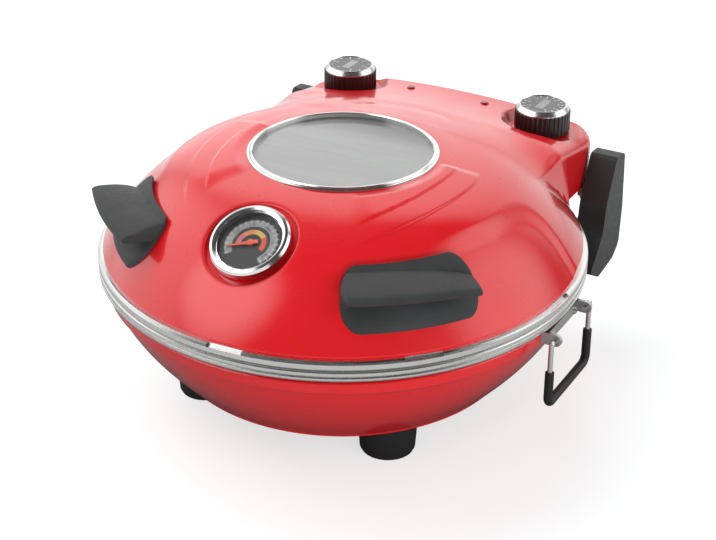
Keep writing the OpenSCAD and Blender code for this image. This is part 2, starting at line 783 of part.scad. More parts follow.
// The bright ring: a bead round the pane's edge, and a thin flange on the lid.
module window_ring() {
    lip = window_r - 1.3;
    bead = window_r + 0.9;
    out = window_r + window_ring_w;
    foot = dome(out) + 0.1;
    color("silver") placed(lid_z) rotate_extrude() polygon([
        [lip, glass_z + glass_h], [window_r - soft_gap, glass_z + glass_h],
        [window_r - soft_gap, dome(window_r)], [window_r, dome(window_r)], [out, foot],
        [out, foot + 0.7], [out - 0.5, foot + 1], [bead + 0.4, foot + 1],
        [bead, foot + 0.8], [bead, foot + 2], [bead - 0.6, foot + 2.6],
        [lip + 0.6, foot + 2.6], [lip, foot + 2]]);
}

module window_glass() {
    color([0.8, 0.85, 0.85, 0.5]) placed(lid_z + glass_z) cylinder(h = glass_h, r = window_r - 0.5);
}

module window_retainer() {
    color("silver") placed(lid_z + glass_z) rotate_extrude() polygon([
        [window_r - 4, -1.5], [window_r + 4, -1.5], [window_r + 4, 2.4], [window_r + 2.5, 2.4],
        [window_r + 2.5, 0], [window_r - 4, 0]]);
}

module window_sleeve() {
    top = glass_z - 1.5;
    foot = inner_glass_z - liner_wall;
    color("silver") placed(lid_z) rotate_extrude() polygon([
        [sleeve_in - 3, foot], [sleeve_in + 7, foot], [sleeve_in + 7, foot + 1],
        [sleeve_in + 1, foot + 1], [sleeve_in + 1, top], [sleeve_in, top],
        [sleeve_in, foot + 1], [sleeve_in - 3, foot + 1]]);
}

module window_inner_glass() {
    color([0.8, 0.85, 0.85, 0.5]) placed(lid_z + inner_glass_z - liner_wall + 1)
        cylinder(h = glass_h, r = sleeve_in - 0.2);
}

// Plate that closes the console below, from the steel rim to the console's walls.
module console_cover() {
    wall = lid_wall + 0.6;
    inner_corner = console_corner_r - wall;
    color("dimgray") placed(lid_z) difference() {
        linear_extrude(height = 2) polygon(rounded(
            [[-console_half_w + wall, 60], [console_half_w - wall, 60],
             [console_half_w - wall, console_back - wall], [-console_half_w + wall, console_back - wall]],
            [0, 0, inner_corner, inner_corner]));
        translate([0, 0, -1]) cylinder(h = 4, r = rim_ring_r + 1.5);
        for (side = [-1, 1]) on_side(side) translate([0, 0, -lid_z]) at_ear_screws()
            cylinder(h = 20, r = 1.5, center = true);
    }
}

// ---- Handles ----

// Section of a handle, outward from the bowl's axis: the back plate lies on the
// dome, and a fin for the fingers runs out and down from the plate's upper edge.
handle_in = dome_r - 38.5;
handle_out = dome_r - 8;
fin_top = dome(handle_in) + handle_plate;
fin_r = dome_r + fin_reach;
fin_tip = 6;
fin_draw = 5;

function handle_plate_section() = concat(
    [for (r = [handle_in - 4:4:handle_out + 4]) [r, dome(r) + soft_gap]],
    [for (r = [handle_out + 4:-4:handle_in - 4]) [r, dome(r) + handle_plate]]);

function handle_fin_section() = [
    [handle_in - 1, fin_top - 3.5], [handle_in + 1.5, fin_top - 1.2], [handle_in + 5, fin_top],
    [handle_in + 10, fin_top - 0.2], [handle_in + 22, fin_top - 3.2], [fin_r - 8, fin_top - 6.3],
    [fin_r, fin_top - 8.4], [fin_r + 8, fin_top - 10.8], [fin_r + 8, fin_top - 10.8 - fin_h],
    [fin_r, fin_top - 8.6 - fin_h], [fin_r - 8, fin_top - 6.8 - fin_h],
    [handle_in + 22, fin_top - 4.4 - fin_h], [handle_in + 17, fin_top - 5 - fin_h],
    [handle_in + 14, fin_top - 10]];

// The back plate seen from above: a round-cornered piece of a ring.
module ring_piece(inner, outer, span, corner_r) {
    offset(r = corner_r, $fn = 48) offset(delta = -corner_r) intersection() {
        difference() {
            circle(r = outer);
            circle(r = inner);
        }
        polygon([[0, 0], [300 * cos(span), -300 * sin(span)], [300, 0], [300 * cos(span), 300 * sin(span)]]);
    }
}

// The fin seen from above: it draws in at its front end and runs to a point at its rear.
function fin_edge(t) = fin_r + fin_tip * pow(t, 3) - fin_draw * pow(1 - t, 4);

module fin_outline(inner, front, rear) {
    offset(r = 2, $fn = 32) offset(delta = -2) polygon(concat(
        [for (t = [0:0.1:1]) let (a = mix(front, rear, t)) fin_edge(t) * [cos(a), sin(a)]],
        [for (t = [1:-0.2:0]) let (a = mix(front + 1, rear + 2, t)) inner * [cos(a), sin(a)]]));
}

module handle(side) {
    color([0.16, 0.18, 0.18]) placed(lid_z) on_side(side) difference() {
        rotate(-90 + handle_turn) union() {
            intersection() {
                rotate_extrude() polygon(handle_plate_section());
                linear_extrude(height = through) ring_piece(handle_in, handle_out, handle_span, 12);
            }
            intersection() {
                rotate_extrude() polygon(handle_fin_section());
                linear_extrude(height = through)
                    fin_outline(handle_in + 0.5, 1 - handle_span, handle_span - 4.5);
            }
        }
        at_handle_screws() translate([0, 0, -5]) cylinder(h = 5 + 3.6, r = 2);
    }
}

module handle_left() { handle(-1); }
module handle_right() { handle(1); }

// Screws from inside the lid into the handles, square to the dome.
screw_ring = dome_r - 24;

module at_handle_screws() {
    for (side = [-1, 1], a = [-11, 11]) rotate(-90 + side * (handle_turn + a))
        translate([screw_ring, 0, dome(screw_ring)]) rotate([0, dome_slope(screw_ring), 0]) children();
}

module handle_screws() {
    color("silver") placed(lid_z) at_handle_screws() {
        translate([0, 0, -lid_wall - 2]) cylinder(h = 2, r = 4);
        translate([0, 0, -lid_wall - 0.5]) cylinder(h = lid_wall + 4, r = 2);
    }
}

// ---- Thermometer ----

stem_r = 3.5;
stem_len = 38;
// Turn of the needle at rest, where it points to the scale's cold end.
needle_rest = 205;
bezel_in = bezel_r - 4.5;
lens_seat = bezel_h - 2.8;

module at_dial_axis() { placed(lid_z) at_dial() children(); }

module thermometer_case() {
    color("silver") at_dial_axis() rotate_extrude() polygon([
        [1 + pin_gap, 0.2], [bezel_r - 2.5, 0.2], [bezel_r, 1.7], [bezel_r, bezel_h - 2.5],
        [bezel_r - 1.2, bezel_h - 0.6], [bezel_r - 3, bezel_h], [bezel_in, bezel_h - 0.8],
        [bezel_in, lens_seat], [bezel_in - 1, lens_seat], [bezel_in - 1, 2], [1 + pin_gap, 2]]);
}

module thermometer_dial() {
    color("black") at_dial_axis() translate([0, 0, 2]) difference() {
        cylinder(h = 0.8, r = bezel_in - 1.2);
        translate([0, 0, -1]) cylinder(h = 3, r = 1 + pin_gap);
    }
}

module thermometer_needle() {
    color("orangered") at_dial_axis() rotate(needle_rest) {
        translate([0, 0, 0.4]) cylinder(h = 3.4, r = 1);
        translate([0, 0, 3.2]) cylinder(h = 1.4, r = 2.4);
        translate([0, 0, 3.4]) linear_extrude(height = 0.8)
            polygon([[0, -1.2], [-5, -1.6], [-5, 1.6], [0, 1.2], [bezel_in - 7, 0.3], [bezel_in - 7, -0.3]]);
    }
}

module thermometer_lens() {
    color([0.9, 0.9, 0.9, 0.4]) at_dial_axis() translate([0, 0, lens_seat])
        cylinder(h = 1.4, r = bezel_in - 0.1);
}

module thermometer_stem() {
    color("silver") at_dial_axis() translate([0, 0, -stem_len]) cylinder(h = stem_len, r = stem_r);
}

module thermometer_nut() {
    color("silver") at_dial_axis() translate([0, 0, -lid_wall - 5]) difference() {
        cylinder(h = 5, r = 8, $fn = 6);
        translate([0, 0, -1]) cylinder(h = 7, r = stem_r);
    }
}

// ---- Controls ----

control_z = knob_seat_h - lid_wall;
knob_z = knob_seat_h + knob_gap;
flutes = 36;
flute_depth = 0.8;
ring_h = 4.4;
ring_r = knob_r - 1;

// A switch under the console: its can hangs from a bush below the lid's seat.
module bush_bore() { translate([0, 0, control_z - 30]) cylinder(h = 40, r = shaft_r + pin_gap); }

module thermostat() {
    color("tan") placed(lid_z) at_knob(-1) difference() {
        union() {
            translate([0, 0, control_z - 7]) cylinder(h = 7, r = 8);
            translate([-18, -14, control_z - 29]) cube([36, 28, 22]);
        }
        bush_bore();
    }
}

module timer() {
    color("gainsboro") placed(lid_z) at_knob(1) difference() {
        union() {
            translate([0, 0, control_z - 7]) cylinder(h = 7, r = 8);
            translate([0, 0, control_z - 29]) cylinder(h = 22, r = 19);
        }
        bush_bore();
    }
}

module control_shaft(side) {
    color("silver") placed(lid_z) at_knob(side)
        translate([0, 0, control_z - 22]) cylinder(h = knob_z - control_z + 22 + 10, r = shaft_r);
}

module thermostat_shaft() { control_shaft(-1); }
module timer_shaft() { control_shaft(1); }

// A fluted knob, hollow below round its shaft's hub.
module knob(side) {
    color([0.08, 0.08, 0.08]) placed(lid_z + knob_z) at_knob(side) difference() {
        linear_extrude(height = knob_h - ring_h) polygon([
            for (k = [0:4 * flutes - 1])
            let (a = k * 90 / flutes, r = knob_r - (k % 4 > 1 ? flute_depth : 0))
            [r * cos(a), r * sin(a)]]);
        translate([0, 0, -1]) difference() {
            cylinder(h = 10, r = knob_r - 4.5);
            translate([0, 0, -1]) cylinder(h = 12, r = shaft_r + 3);
        }
        translate([0, 0, -1]) cylinder(h = 11, r = shaft_r);
    }
}

module thermostat_knob() { knob(-1); }
module timer_knob() { knob(1); }

module knob_ring(side) {
    color("silver") placed(lid_z + knob_z + knob_h - ring_h) at_knob(side) rotate_extrude() polygon([
        [0, 0], [ring_r, 0], [ring_r, 0.8], [ring_r - 2, ring_h - 0.4], [ring_r - 2.5, ring_h],
        [ring_r - 3, ring_h], [ring_r - 3.3, ring_h - 0.6], [0, ring_h - 0.6]]);
}

module thermostat_knob_ring() { knob_ring(-1); }
module timer_knob_ring() { knob_ring(1); }

module lamp(side) {
    color("darkred") placed(lid_z) at_lamp(side) {
        translate([0, 0, -lid_wall - 12.5]) cylinder(h = 12, r = lamp_r + 1.5);
        translate([0, 0, -lid_wall - 1]) cylinder(h = lid_wall + 1.6, r = lamp_r, $fn = 32);
        translate([0, 0, 0.6]) cylinder(h = 0.8, r1 = lamp_r, r2 = lamp_r - 1, $fn = 32);
    }
}

module heat_lamp() { lamp(-1); }
module power_lamp() { lamp(1); }

base_bowl();
base_rim();
base_pan();
baking_stone();
lower_element();
lower_element_clips();
lower_element_bushes();
foot_front_left();
foot_front_right();
foot_rear_left();
foot_rear_right();
foot_bolts();
power_gland();
hinge_tower_left();
hinge_tower_right();
hinge_plate_left();
hinge_plate_right();
bail_bracket_left();
bail_bracket_right();
bail_rivets();
bail_left();
bail_right();
bail_sleeve_left();
bail_sleeve_right();
lid_shell();
lid_rim();
lid_liner();
upper_element();
upper_element_clips();
upper_element_bushes();
window_ring();
window_glass();
window_retainer();
window_sleeve();
window_inner_glass();
console_cover();
hinge_ear_left();
hinge_ear_right();
hinge_pin_left();
hinge_pin_right();
ear_screws();
handle_left();
handle_right();
handle_screws();
thermometer_case();
thermometer_dial();
thermometer_needle();
thermometer_lens();
thermometer_stem();
thermometer_nut();
thermostat();
thermostat_shaft();
thermostat_knob();
thermostat_knob_ring();
timer();
timer_shaft();
timer_knob();
timer_knob_ring();
heat_lamp();
power_lamp();
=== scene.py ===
import math

import bpy
import numpy as np
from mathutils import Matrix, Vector
from mathutils.geometry import delaunay_2d_cdt


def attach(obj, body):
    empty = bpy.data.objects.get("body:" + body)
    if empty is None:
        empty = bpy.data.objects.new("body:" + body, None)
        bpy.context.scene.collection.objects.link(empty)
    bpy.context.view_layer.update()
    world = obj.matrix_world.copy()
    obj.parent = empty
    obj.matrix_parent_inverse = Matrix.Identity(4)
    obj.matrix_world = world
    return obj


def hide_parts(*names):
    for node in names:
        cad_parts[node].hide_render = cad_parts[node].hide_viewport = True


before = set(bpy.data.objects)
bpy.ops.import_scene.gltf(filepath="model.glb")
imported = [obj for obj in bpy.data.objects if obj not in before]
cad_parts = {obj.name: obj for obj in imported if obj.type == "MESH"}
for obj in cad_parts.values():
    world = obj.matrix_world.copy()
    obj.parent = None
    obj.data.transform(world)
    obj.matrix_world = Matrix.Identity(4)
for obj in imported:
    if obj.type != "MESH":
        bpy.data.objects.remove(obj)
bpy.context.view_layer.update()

MM = 0.001

# The named sizes of part.scad, in millimetres. x and y run from the bowl's axis. Heights on the
# base are above the table, and heights on the lid above the top of its steel rim, at LID_Z.
AXIS_Y = -5.0
FOOT_H = 23.0
BOWL_DEPTH, BOWL_WALL, BOWL_R, BOWL_DRAW, NECK_R = 79.0, 1.5, 175.0, 46.4, 172.0
LID_Z = 117.0
DOME_R, LIP_H, LID_RISE, LID_WALL = 176.0, 2.0, 70.0, 2.0
WINDOW_R = 66.5
CONSOLE_HALF_W, CONSOLE_BACK, CONSOLE_FRONT, CONSOLE_H = 121.5, 190.0, 75.0, 48.0
CONSOLE_CROWN, CONSOLE_EDGE_R, CONSOLE_CORNER_R = 6.0, 6.0, 16.0
CONSOLE_RISE = (60.0, 122.0)
CONSOLE_FLAT = 95.0
SHOULDER_H, SHOULDER_R = 3.2, 139.0
KNOB_X, KNOB_Y, KNOB_H, KNOB_GAP = 86.0, 162.0, 20.6, 1.6
KNOB_SEAT_H, SEAT_R, SEAT_FADE = 43.0, 26.0, 7.0
DIAL_Y, DIAL_TILT, DIAL_SINK = 122.0, 30.0, 8.0
POCKET_R = 32.5
HANDLE_TURN, HANDLE_SPAN = 46.5, 17.5
HANDLE_IN, HANDLE_OUT, HANDLE_PLATE = 137.5, 168.0, 4.5
HANDLE_CORNER, HANDLE_CORNER_TURN = 13.0, 4.8
FIN_EDGE_H, FIN_R, FIN_TIP, FIN_DRAW = 41.6, 177.0, 6.0, 4.0
FIN_FRONT, FIN_CORNER, FIN_REAR, FIN_THICK = -17.4, 13.0, 16.5, 2.6
# The knob's printed face lies this far below the top of its bright ring.
KNOB_FACE_DROP = 0.6
KNOB_TOP = KNOB_SEAT_H + KNOB_GAP + KNOB_H - KNOB_FACE_DROP


# ---- Shader nodes ----

WHITE = (1, 1, 1, 1)
# Most of a noise texture's values lie between these two.
NOISE_LOW, NOISE_HIGH = 0.3, 0.7


def fill(tree, node, inputs):
    """Gives a node's inputs their values, or links them to other nodes' outputs."""
    for key, value in inputs.items():
        if isinstance(value, bpy.types.NodeSocket):
            tree.links.new(value, node.inputs[key])
        else:
            node.inputs[key].default_value = value


def add_node(tree, kind, output, inputs, **settings):
    """Adds a node with its settings and inputs, and gives back one of its outputs."""
    node = tree.nodes.new("ShaderNode" + kind)
    for key, value in settings.items():
        setattr(node, key, value)
    fill(tree, node, inputs)
    return node.outputs[output]


def combine(tree, operation, first, second, clamp=False):
    return add_node(tree, "Math", "Value", {0: first, 1: second},
                    operation=operation, use_clamp=clamp)


def map_range(tree, value, low, high, to_low, to_high, kind="LINEAR"):
    return add_node(tree, "MapRange", "Result", {
        "Value": value, "From Min": low, "From Max": high, "To Min": to_low, "To Max": to_high,
    }, interpolation_type=kind)


def mix_shaders(tree, share, first, second):
    return add_node(tree, "MixShader", "Shader", {"Fac": share, 1: first, 2: second})


# ---- Camera, light and floor ----

# The camera: its place in metres, the way it looks, its sensor and lens in millimetres, how far
# its picture is shifted as shares of its width, and how far it sees.
CAMERA_PLACE = (0.5304, -0.9292, 0.6618)
CAMERA_LOOK = (-0.4432, 0.7722, -0.4553)
CAMERA_SENSOR, CAMERA_LENS = 36.0, 81.3
CAMERA_SHIFT = (0.021, -0.048)
CAMERA_FAR = 20.0

# Each softbox: its name, its place, where it aims, its size in metres and its power in watts.
SOFTBOXES = [
    ("key", (-1.4, -0.3, 1.4), (0, 0, 0.1), (1.3, 1.1), 12),
    ("top", (-0.9, 0.7, 1.8), (0, 0, 0.1), (1.8, 1.2), 24),
    ("side", (1.7, -0.4, 0.9), (0, 0, 0.1), (0.9, 1.2), 7),
    ("fill", (1.3, -1.5, 0.25), (0, 0, 0.04), (1.2, 0.4), 16),
]
# The strength of the light from all round, and of the white behind the object.
SOFT_LIGHT = 0.38
BACKDROP = 1.0

# White screens round the table that the enamel and the metal mirror: the direction of each, the
# nearness to it at which the screen begins and is full, and its brightness.
STUDIO_DARK = 0.08
STUDIO_SCREENS = [
    ((-0.30, 0.90, 0.30), 0.64, 0.88, 1.25),
    ((-0.93, -0.10, 0.36), 0.72, 0.95, 1.5),
    ((-0.50, -0.53, 0.68), 0.89, 0.985, 3.0),
    ((0.78, 0.42, 0.47), 0.82, 0.98, 2.0),
]

# The floor: half its width in metres, its colour, a grey with a cyan cast painted in to cancel the
# red light that the enamel throws on it, and the light added where it is seen directly.
FLOOR_HALF = 8
FLOOR_GREY = (0.48, 0.525, 0.525)
FLOOR_LIFT = 0.65
# Where enamel and metal mirror the floor, it is painted dark near the middle, a painted shadow of
# the object in their reflections, and bright further out: the two distances in metres, and the
# brightness at each.
FLOOR_MIRRORED_SHADOW = (0.12, 0.50, 0.05, 0.90)


def link_object(name, data):
    thing = bpy.data.objects.new(name, data)
    bpy.context.scene.collection.objects.link(thing)
    return thing


def aim(thing, direction):
    thing.rotation_euler = Vector(direction).to_track_quat("-Z", "Y").to_euler()


def add_camera():
    camera = link_object("camera", bpy.data.cameras.new("camera"))
    camera.location = CAMERA_PLACE
    aim(camera, CAMERA_LOOK)
    camera.data.sensor_fit = "HORIZONTAL"
    camera.data.sensor_width = CAMERA_SENSOR
    camera.data.lens = CAMERA_LENS
    camera.data.shift_x, camera.data.shift_y = CAMERA_SHIFT
    camera.data.clip_end = CAMERA_FAR
    bpy.context.scene.camera = camera


def add_softbox(name, place, target, size, power):
    lamp = bpy.data.lights.new(name, "AREA")
    lamp.shape = "RECTANGLE"
    lamp.size, lamp.size_y = size
    lamp.energy = power
    box = link_object(name, lamp)
    box.location = place
    aim(box, Vector(target) - Vector(place))
    box.visible_glossy = False


def seen_directly(tree):
    """One for camera, glossy and transmission rays, which see the backdrop; nought for the rest."""
    path = tree.nodes.new("ShaderNodeLightPath").outputs
    total = path["Is Camera Ray"]
    for kind in ("Is Glossy Ray", "Is Transmission Ray"):
        total = combine(tree, "ADD", total, path[kind], clamp=True)
    return path, total


def add_world():
    """White behind the object, screens in a dark studio for its mirrors, soft light elsewhere."""
    world = bpy.data.worlds.new("studio")
    bpy.context.scene.world = world
    world.use_nodes = True
    tree = world.node_tree
    tree.nodes.clear()
    where = add_node(tree, "TexCoord", "Generated", {})
    brightest = STUDIO_DARK
    for direction, begins, full, brightness in STUDIO_SCREENS:
        nearness = add_node(tree, "VectorMath", "Value",
                            {0: where, 1: Vector(direction).normalized()}, operation="DOT_PRODUCT")
        screen = map_range(tree, nearness, begins, full, STUDIO_DARK, brightness, "SMOOTHSTEP")
        brightest = combine(tree, "MAXIMUM", brightest, screen)
    soft, studio, white = [
        add_node(tree, "Background", "Background", {"Color": WHITE, "Strength": strength})
        for strength in (SOFT_LIGHT, brightest, BACKDROP)]
    path, direct = seen_directly(tree)
    mirrored = mix_shaders(tree, direct, soft, studio)
    mix = mix_shaders(tree, path["Is Camera Ray"], mirrored, white)
    fill(tree, tree.nodes.new("ShaderNodeOutputWorld"), {"Surface": mix})


def add_floor():
    mesh = bpy.data.meshes.new("floor")
    half = FLOOR_HALF
    corners = [(-half, -half, 0), (half, -half, 0), (half, half, 0), (-half, half, 0)]
    mesh.from_pydata(corners, [], [(0, 1, 2, 3)])
    floor = link_object("floor", mesh)
    material = bpy.data.materials.new("floor")
    material.use_nodes = True
    tree = material.node_tree
    tree.nodes.clear()
    path, direct = seen_directly(tree)
    paper = add_node(tree, "BsdfDiffuse", "BSDF", {"Color": (*FLOOR_GREY, 1)})
    lift = add_node(tree, "Emission", "Emission",
                    {"Strength": combine(tree, "MULTIPLY", direct, FLOOR_LIFT)})
    lit = add_node(tree, "AddShader", "Shader", {0: paper, 1: lift})
    where = add_node(tree, "TexCoord", "Object", {})
    distance = add_node(tree, "VectorMath", "Value", {0: where}, operation="LENGTH")
    # Painted shadow: the floor that enamel and metal mirror glows less near the object.
    mirrored = add_node(tree, "Emission", "Emission",
                        {"Strength": map_range(tree, distance, *FLOOR_MIRRORED_SHADOW)})
    mix = mix_shaders(tree, path["Is Glossy Ray"], lit, mirrored)
    fill(tree, tree.nodes.new("ShaderNodeOutputMaterial"), {"Surface": mix})
    mesh.materials.append(material)


bpy.context.scene.view_settings.view_transform = "Standard"
add_camera()
add_world()
add_floor()
for softbox in SOFTBOXES:
    add_softbox(*softbox)


# ---- Materials ----

def start_material(name):
    material = bpy.data.materials.new(name)
    material.use_nodes = True
    tree = material.node_tree
    return material, tree, tree.nodes["Principled BSDF"]


def coordinates(tree, scale=(1, 1, 1)):
    """Object coordinates in metres, stretched by scale."""
    where = add_node(tree, "TexCoord", "Object", {})
    return add_node(tree, "VectorMath", "Vector", {0: where, 1: scale}, operation="MULTIPLY")


def noise(tree, vector, scale, detail=3.0, roughness=0.5):
    return add_node(tree, "TexNoise", "Fac", {
        "Vector": vector, "Scale": scale, "Detail": detail, "Roughness": roughness})


def spread(tree, factor, low, high):
    """A value that follows a noise from low to high."""
    return map_range(tree, factor, NOISE_LOW, NOISE_HIGH, low, high)


def tint(tree, factor, dark, light):
    """A colour that follows a noise from dark to light."""
    node = tree.nodes.new("ShaderNodeValToRGB")
    ends = zip(node.color_ramp.elements, (NOISE_LOW, NOISE_HIGH), (dark, light))
    for end, place, colour in ends:
        end.position = place
        end.color = (*colour, 1)
    fill(tree, node, {"Fac": factor})
    return node.outputs["Color"]


def bump(tree, height, strength, distance):
    return add_node(tree, "Bump", "Normal",
                    {"Height": height, "Strength": strength, "Distance": distance})


def shaded(colour, share):
    return tuple(min(c * share, 1.0) for c in colour)


def enamel():
    """Glossy red baked enamel with a faint orange peel."""
    material, tree, shader = start_material("red_enamel")
    where = coordinates(tree)
    fill(tree, shader, {
        "Base Color": tint(tree, noise(tree, where, 9), (0.70, 0.006, 0.011), (0.78, 0.009, 0.016)),
        "Roughness": spread(tree, noise(tree, where, 40), 0.26, 0.34),
        "Specular IOR Level": 0.25,
        "Coat Weight": 1.0,
        "Coat Roughness": 0.10,
        "Normal": bump(tree, noise(tree, where, 420, 2), 0.05, 0.0004),
    })
    return material


def plastic(name, colour, rough, grain=0.12, grain_scale=1500, coat=0.0, gloss=0.5):
    material, tree, shader = start_material(name)
    where = coordinates(tree)
    dark, light = shaded(colour, 0.85), shaded(colour, 1.15)
    fill(tree, shader, {
        "Base Color": tint(tree, noise(tree, where, 30), dark, light),
        "Roughness": spread(tree, noise(tree, where, 220), rough - 0.05, rough + 0.05),
        "Specular IOR Level": gloss,
        "Coat Weight": coat,
        "Coat Roughness": 0.1,
        "Normal": bump(tree, noise(tree, where, grain_scale, 4), grain, 0.0003),
    })
    return material


def metal(name, colour, rough, stretch=(1, 1, 1), scale=300, depth=0.04):
    """Metal with fine lines, drawn out across the directions that stretch makes finer."""
    material, tree, shader = start_material(name)
    lines = noise(tree, coordinates(tree, stretch), scale, 5, 0.6)
    fill(tree, shader, {
        "Metallic": 1.0,
        "Base Color": tint(tree, lines, shaded(colour, 0.9), colour),
        "Roughness": spread(tree, lines, rough * 0.75, rough * 1.25),
        "Normal": bump(tree, lines, depth, 0.0002),
    })
    return material


def stone():
    material, tree, shader = start_material("cordierite")
    where = coordinates(tree)
    specks = noise(tree, where, 60, 8, 0.7)
    fill(tree, shader, {
        "Base Color": tint(tree, specks, (0.42, 0.33, 0.24), (0.60, 0.49, 0.37)),
        "Roughness": 0.92,
        "Normal": bump(tree, noise(tree, where, 900, 6, 0.7), 0.5, 0.0006),
    })
    return material


def porcelain():
    material, tree, shader = start_material("porcelain")
    where = coordinates(tree)
    fill(tree, shader, {
        "Base Color": tint(tree, noise(tree, where, 80), (0.80, 0.78, 0.72), (0.88, 0.87, 0.82)),
        "Roughness": spread(tree, noise(tree, where, 300), 0.25, 0.4),
    })
    return material


# A pane's painted shade grows darker between these two places along y, in metres.
PANE_SHADE_Y = (0.015, 0.062)


def pane(name, colour, transmission, rough, bend=1.5, rear=1.0):
    """Glass with faint streaks across. Its rear edge keeps only a share of its colour's value: a
    painted shade of the ring's inner wall.
    """
    material, tree, shader = start_material(name)
    streaks = noise(tree, coordinates(tree, (1, 5, 1)), 14, 3, 0.55)
    where = add_node(tree, "TexCoord", "Object", {})
    y = add_node(tree, "SeparateXYZ", "Y", {"Vector": where})
    # Painted shade: the pane darkens towards its rear edge.
    painted_shade = map_range(tree, y, *PANE_SHADE_Y, 1.0, rear, "SMOOTHSTEP")
    clear = tint(tree, streaks, shaded(colour, 0.88), colour)
    fill(tree, shader, {
        "Base Color": add_node(tree, "HueSaturation", "Color", {"Value": painted_shade, "Color": clear}),
        "Roughness": spread(tree, streaks, rough, rough + 0.06),
        "Transmission Weight": transmission,
        "IOR": bend,
    })
    return material


RED = enamel()
CHROME = metal("polished_steel", (0.88, 0.88, 0.87), 0.12, (1, 1, 9), 260, 0.02)
RIM = metal("rolled_steel", (0.84, 0.84, 0.83), 0.27, (1, 1, 40), 90, 0.05)
SHEET = metal("sheet_steel", (0.60, 0.60, 0.58), 0.42, (1, 6, 1), 160, 0.08)
ZINC = metal("zinc_steel", (0.62, 0.62, 0.61), 0.35, scale=500, depth=0.06)
SHEATH = metal("element_sheath", (0.16, 0.16, 0.15), 0.5, scale=600, depth=0.2)
ALUMINIUM = metal("turned_aluminium", (0.80, 0.80, 0.80), 0.24, scale=700, depth=0.05)
HANDLE = plastic("handle_plastic", (0.046, 0.047, 0.048), 0.5, gloss=0.2)
TOWER = plastic("tower_plastic", (0.018, 0.020, 0.020), 0.48)
BLACK = plastic("black_plastic", (0.012, 0.012, 0.012), 0.5)
KNOB = plastic("knob_plastic", (0.010, 0.011, 0.011), 0.32, 0.05, 900, 0.3)
RUBBER = plastic("foot_rubber", (0.016, 0.016, 0.016), 0.62, 0.25)
SWITCH = plastic("phenolic", (0.42, 0.34, 0.22), 0.6)
LENS = plastic("lamp_lens", (0.30, 0.004, 0.010), 0.15, 0.02, 600, 0.8)
NEEDLE = plastic("needle_paint", (0.80, 0.10, 0.03), 0.4, 0.02)
FACE = plastic("dial_black", (0.010, 0.010, 0.011), 0.5, 0.02)
KNOB_FACE = plastic("knob_face", (0.060, 0.062, 0.062), 0.35, 0.02, 900, 0.4)
MARK_WHITE = plastic("white_marks", (0.72, 0.72, 0.70), 0.5, 0.01)
MARK_GREY = plastic("grey_marks", (0.34, 0.35, 0.34), 0.5, 0.01)
MARK_BLACK = plastic("black_marks", (0.02, 0.02, 0.02), 0.5, 0.01)
ROSE = plastic("rose_marks", (0.75, 0.16, 0.20), 0.5, 0.01)
ORANGE = plastic("orange_marks", (0.80, 0.28, 0.08), 0.5, 0.01)
YELLOW = plastic("yellow_marks", (0.80, 0.50, 0.12), 0.5, 0.01)
SCARLET = plastic("scarlet_marks", (0.70, 0.08, 0.03), 0.5, 0.01)
STONE = stone()
PORCELAIN = porcelain()
# The window's pane is painted darker towards its rear edge, as shade from its ring.
WINDOW = pane("window_pane", (0.52, 0.53, 0.52), 0.25, 0.08, rear=0.45)
INNER_PANE = pane("inner_pane", (0.85, 0.87, 0.86), 0.9, 0.03)
CLEAR = pane("clear_lens", (0.97, 0.97, 0.97), 1.0, 0.0, bend=1.12)

NODE_MATERIALS = {
    RED: ["base_bowl", "lid_shell"],
    RIM: ["base_rim", "lid_rim"],
    CHROME: ["window_ring", "thermometer_case", "bail_left", "bail_right"],
    SHEET: ["base_pan", "lid_liner", "console_cover", "window_sleeve"],
    ZINC: ["foot_bolts", "ear_screws", "handle_screws", "bail_rivets", "hinge_plate_left",
           "hinge_plate_right", "hinge_ear_left", "hinge_ear_right", "hinge_pin_left",
           "hinge_pin_right", "thermometer_nut", "thermometer_stem", "lower_element_clips",
           "upper_element_clips", "window_retainer", "thermostat_shaft", "timer_shaft",
           "bail_bracket_left", "bail_bracket_right"],
    SHEATH: ["lower_element", "upper_element"],
    ALUMINIUM: ["thermostat_knob_ring", "timer_knob_ring"],
    HANDLE: ["handle_left", "handle_right"],
    TOWER: ["hinge_tower_left", "hinge_tower_right"],
    BLACK: ["power_gland", "bail_sleeve_left", "bail_sleeve_right"],
    KNOB: ["thermostat_knob", "timer_knob"],
    RUBBER: ["foot_front_left", "foot_front_right", "foot_rear_left", "foot_rear_right"],
    SWITCH: ["thermostat", "timer"],
    LENS: ["heat_lamp", "power_lamp"],
    NEEDLE: ["thermometer_needle"],
    FACE: ["thermometer_dial"],
    STONE: ["baking_stone"],
    PORCELAIN: ["lower_element_bushes", "upper_element_bushes"],
    WINDOW: ["window_glass"],
    INNER_PANE: ["window_inner_glass"],
    CLEAR: ["thermometer_lens"],
}
# The finish of each new piece, as the record calls it.
for material, nodes in NODE_MATERIALS.items():
    for node in nodes:
        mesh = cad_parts[node].data
        mesh.materials.clear()
        mesh.materials.append(material)


# ---- The lid's surface, as part.scad builds it ----

# The console's sheet: how fast it falls beyond its edge, how far under the lid's top its ramp
# starts and how it bends, the width its crown is given for, and how it falls off to the sides.
EDGE_FALL = 3
CONSOLE_UNDER_TOP = 2
RAMP_BEND = 1.6
CROWN_WIDTH = 100
SIDE_SHED = 0.009

# The swelling of the lid's top: the line it ends at behind, the size of the blend in its corners,
# and the ranges over which it fades at its edge, along y and along the radius.
SHOULDER_BACK = 17
SHOULDER_BLEND = 30
SHOULDER_EDGE, SHOULDER_FADE_Y, SHOULDER_FADE_R = (0, 13), (-100, -30), (84, 126)

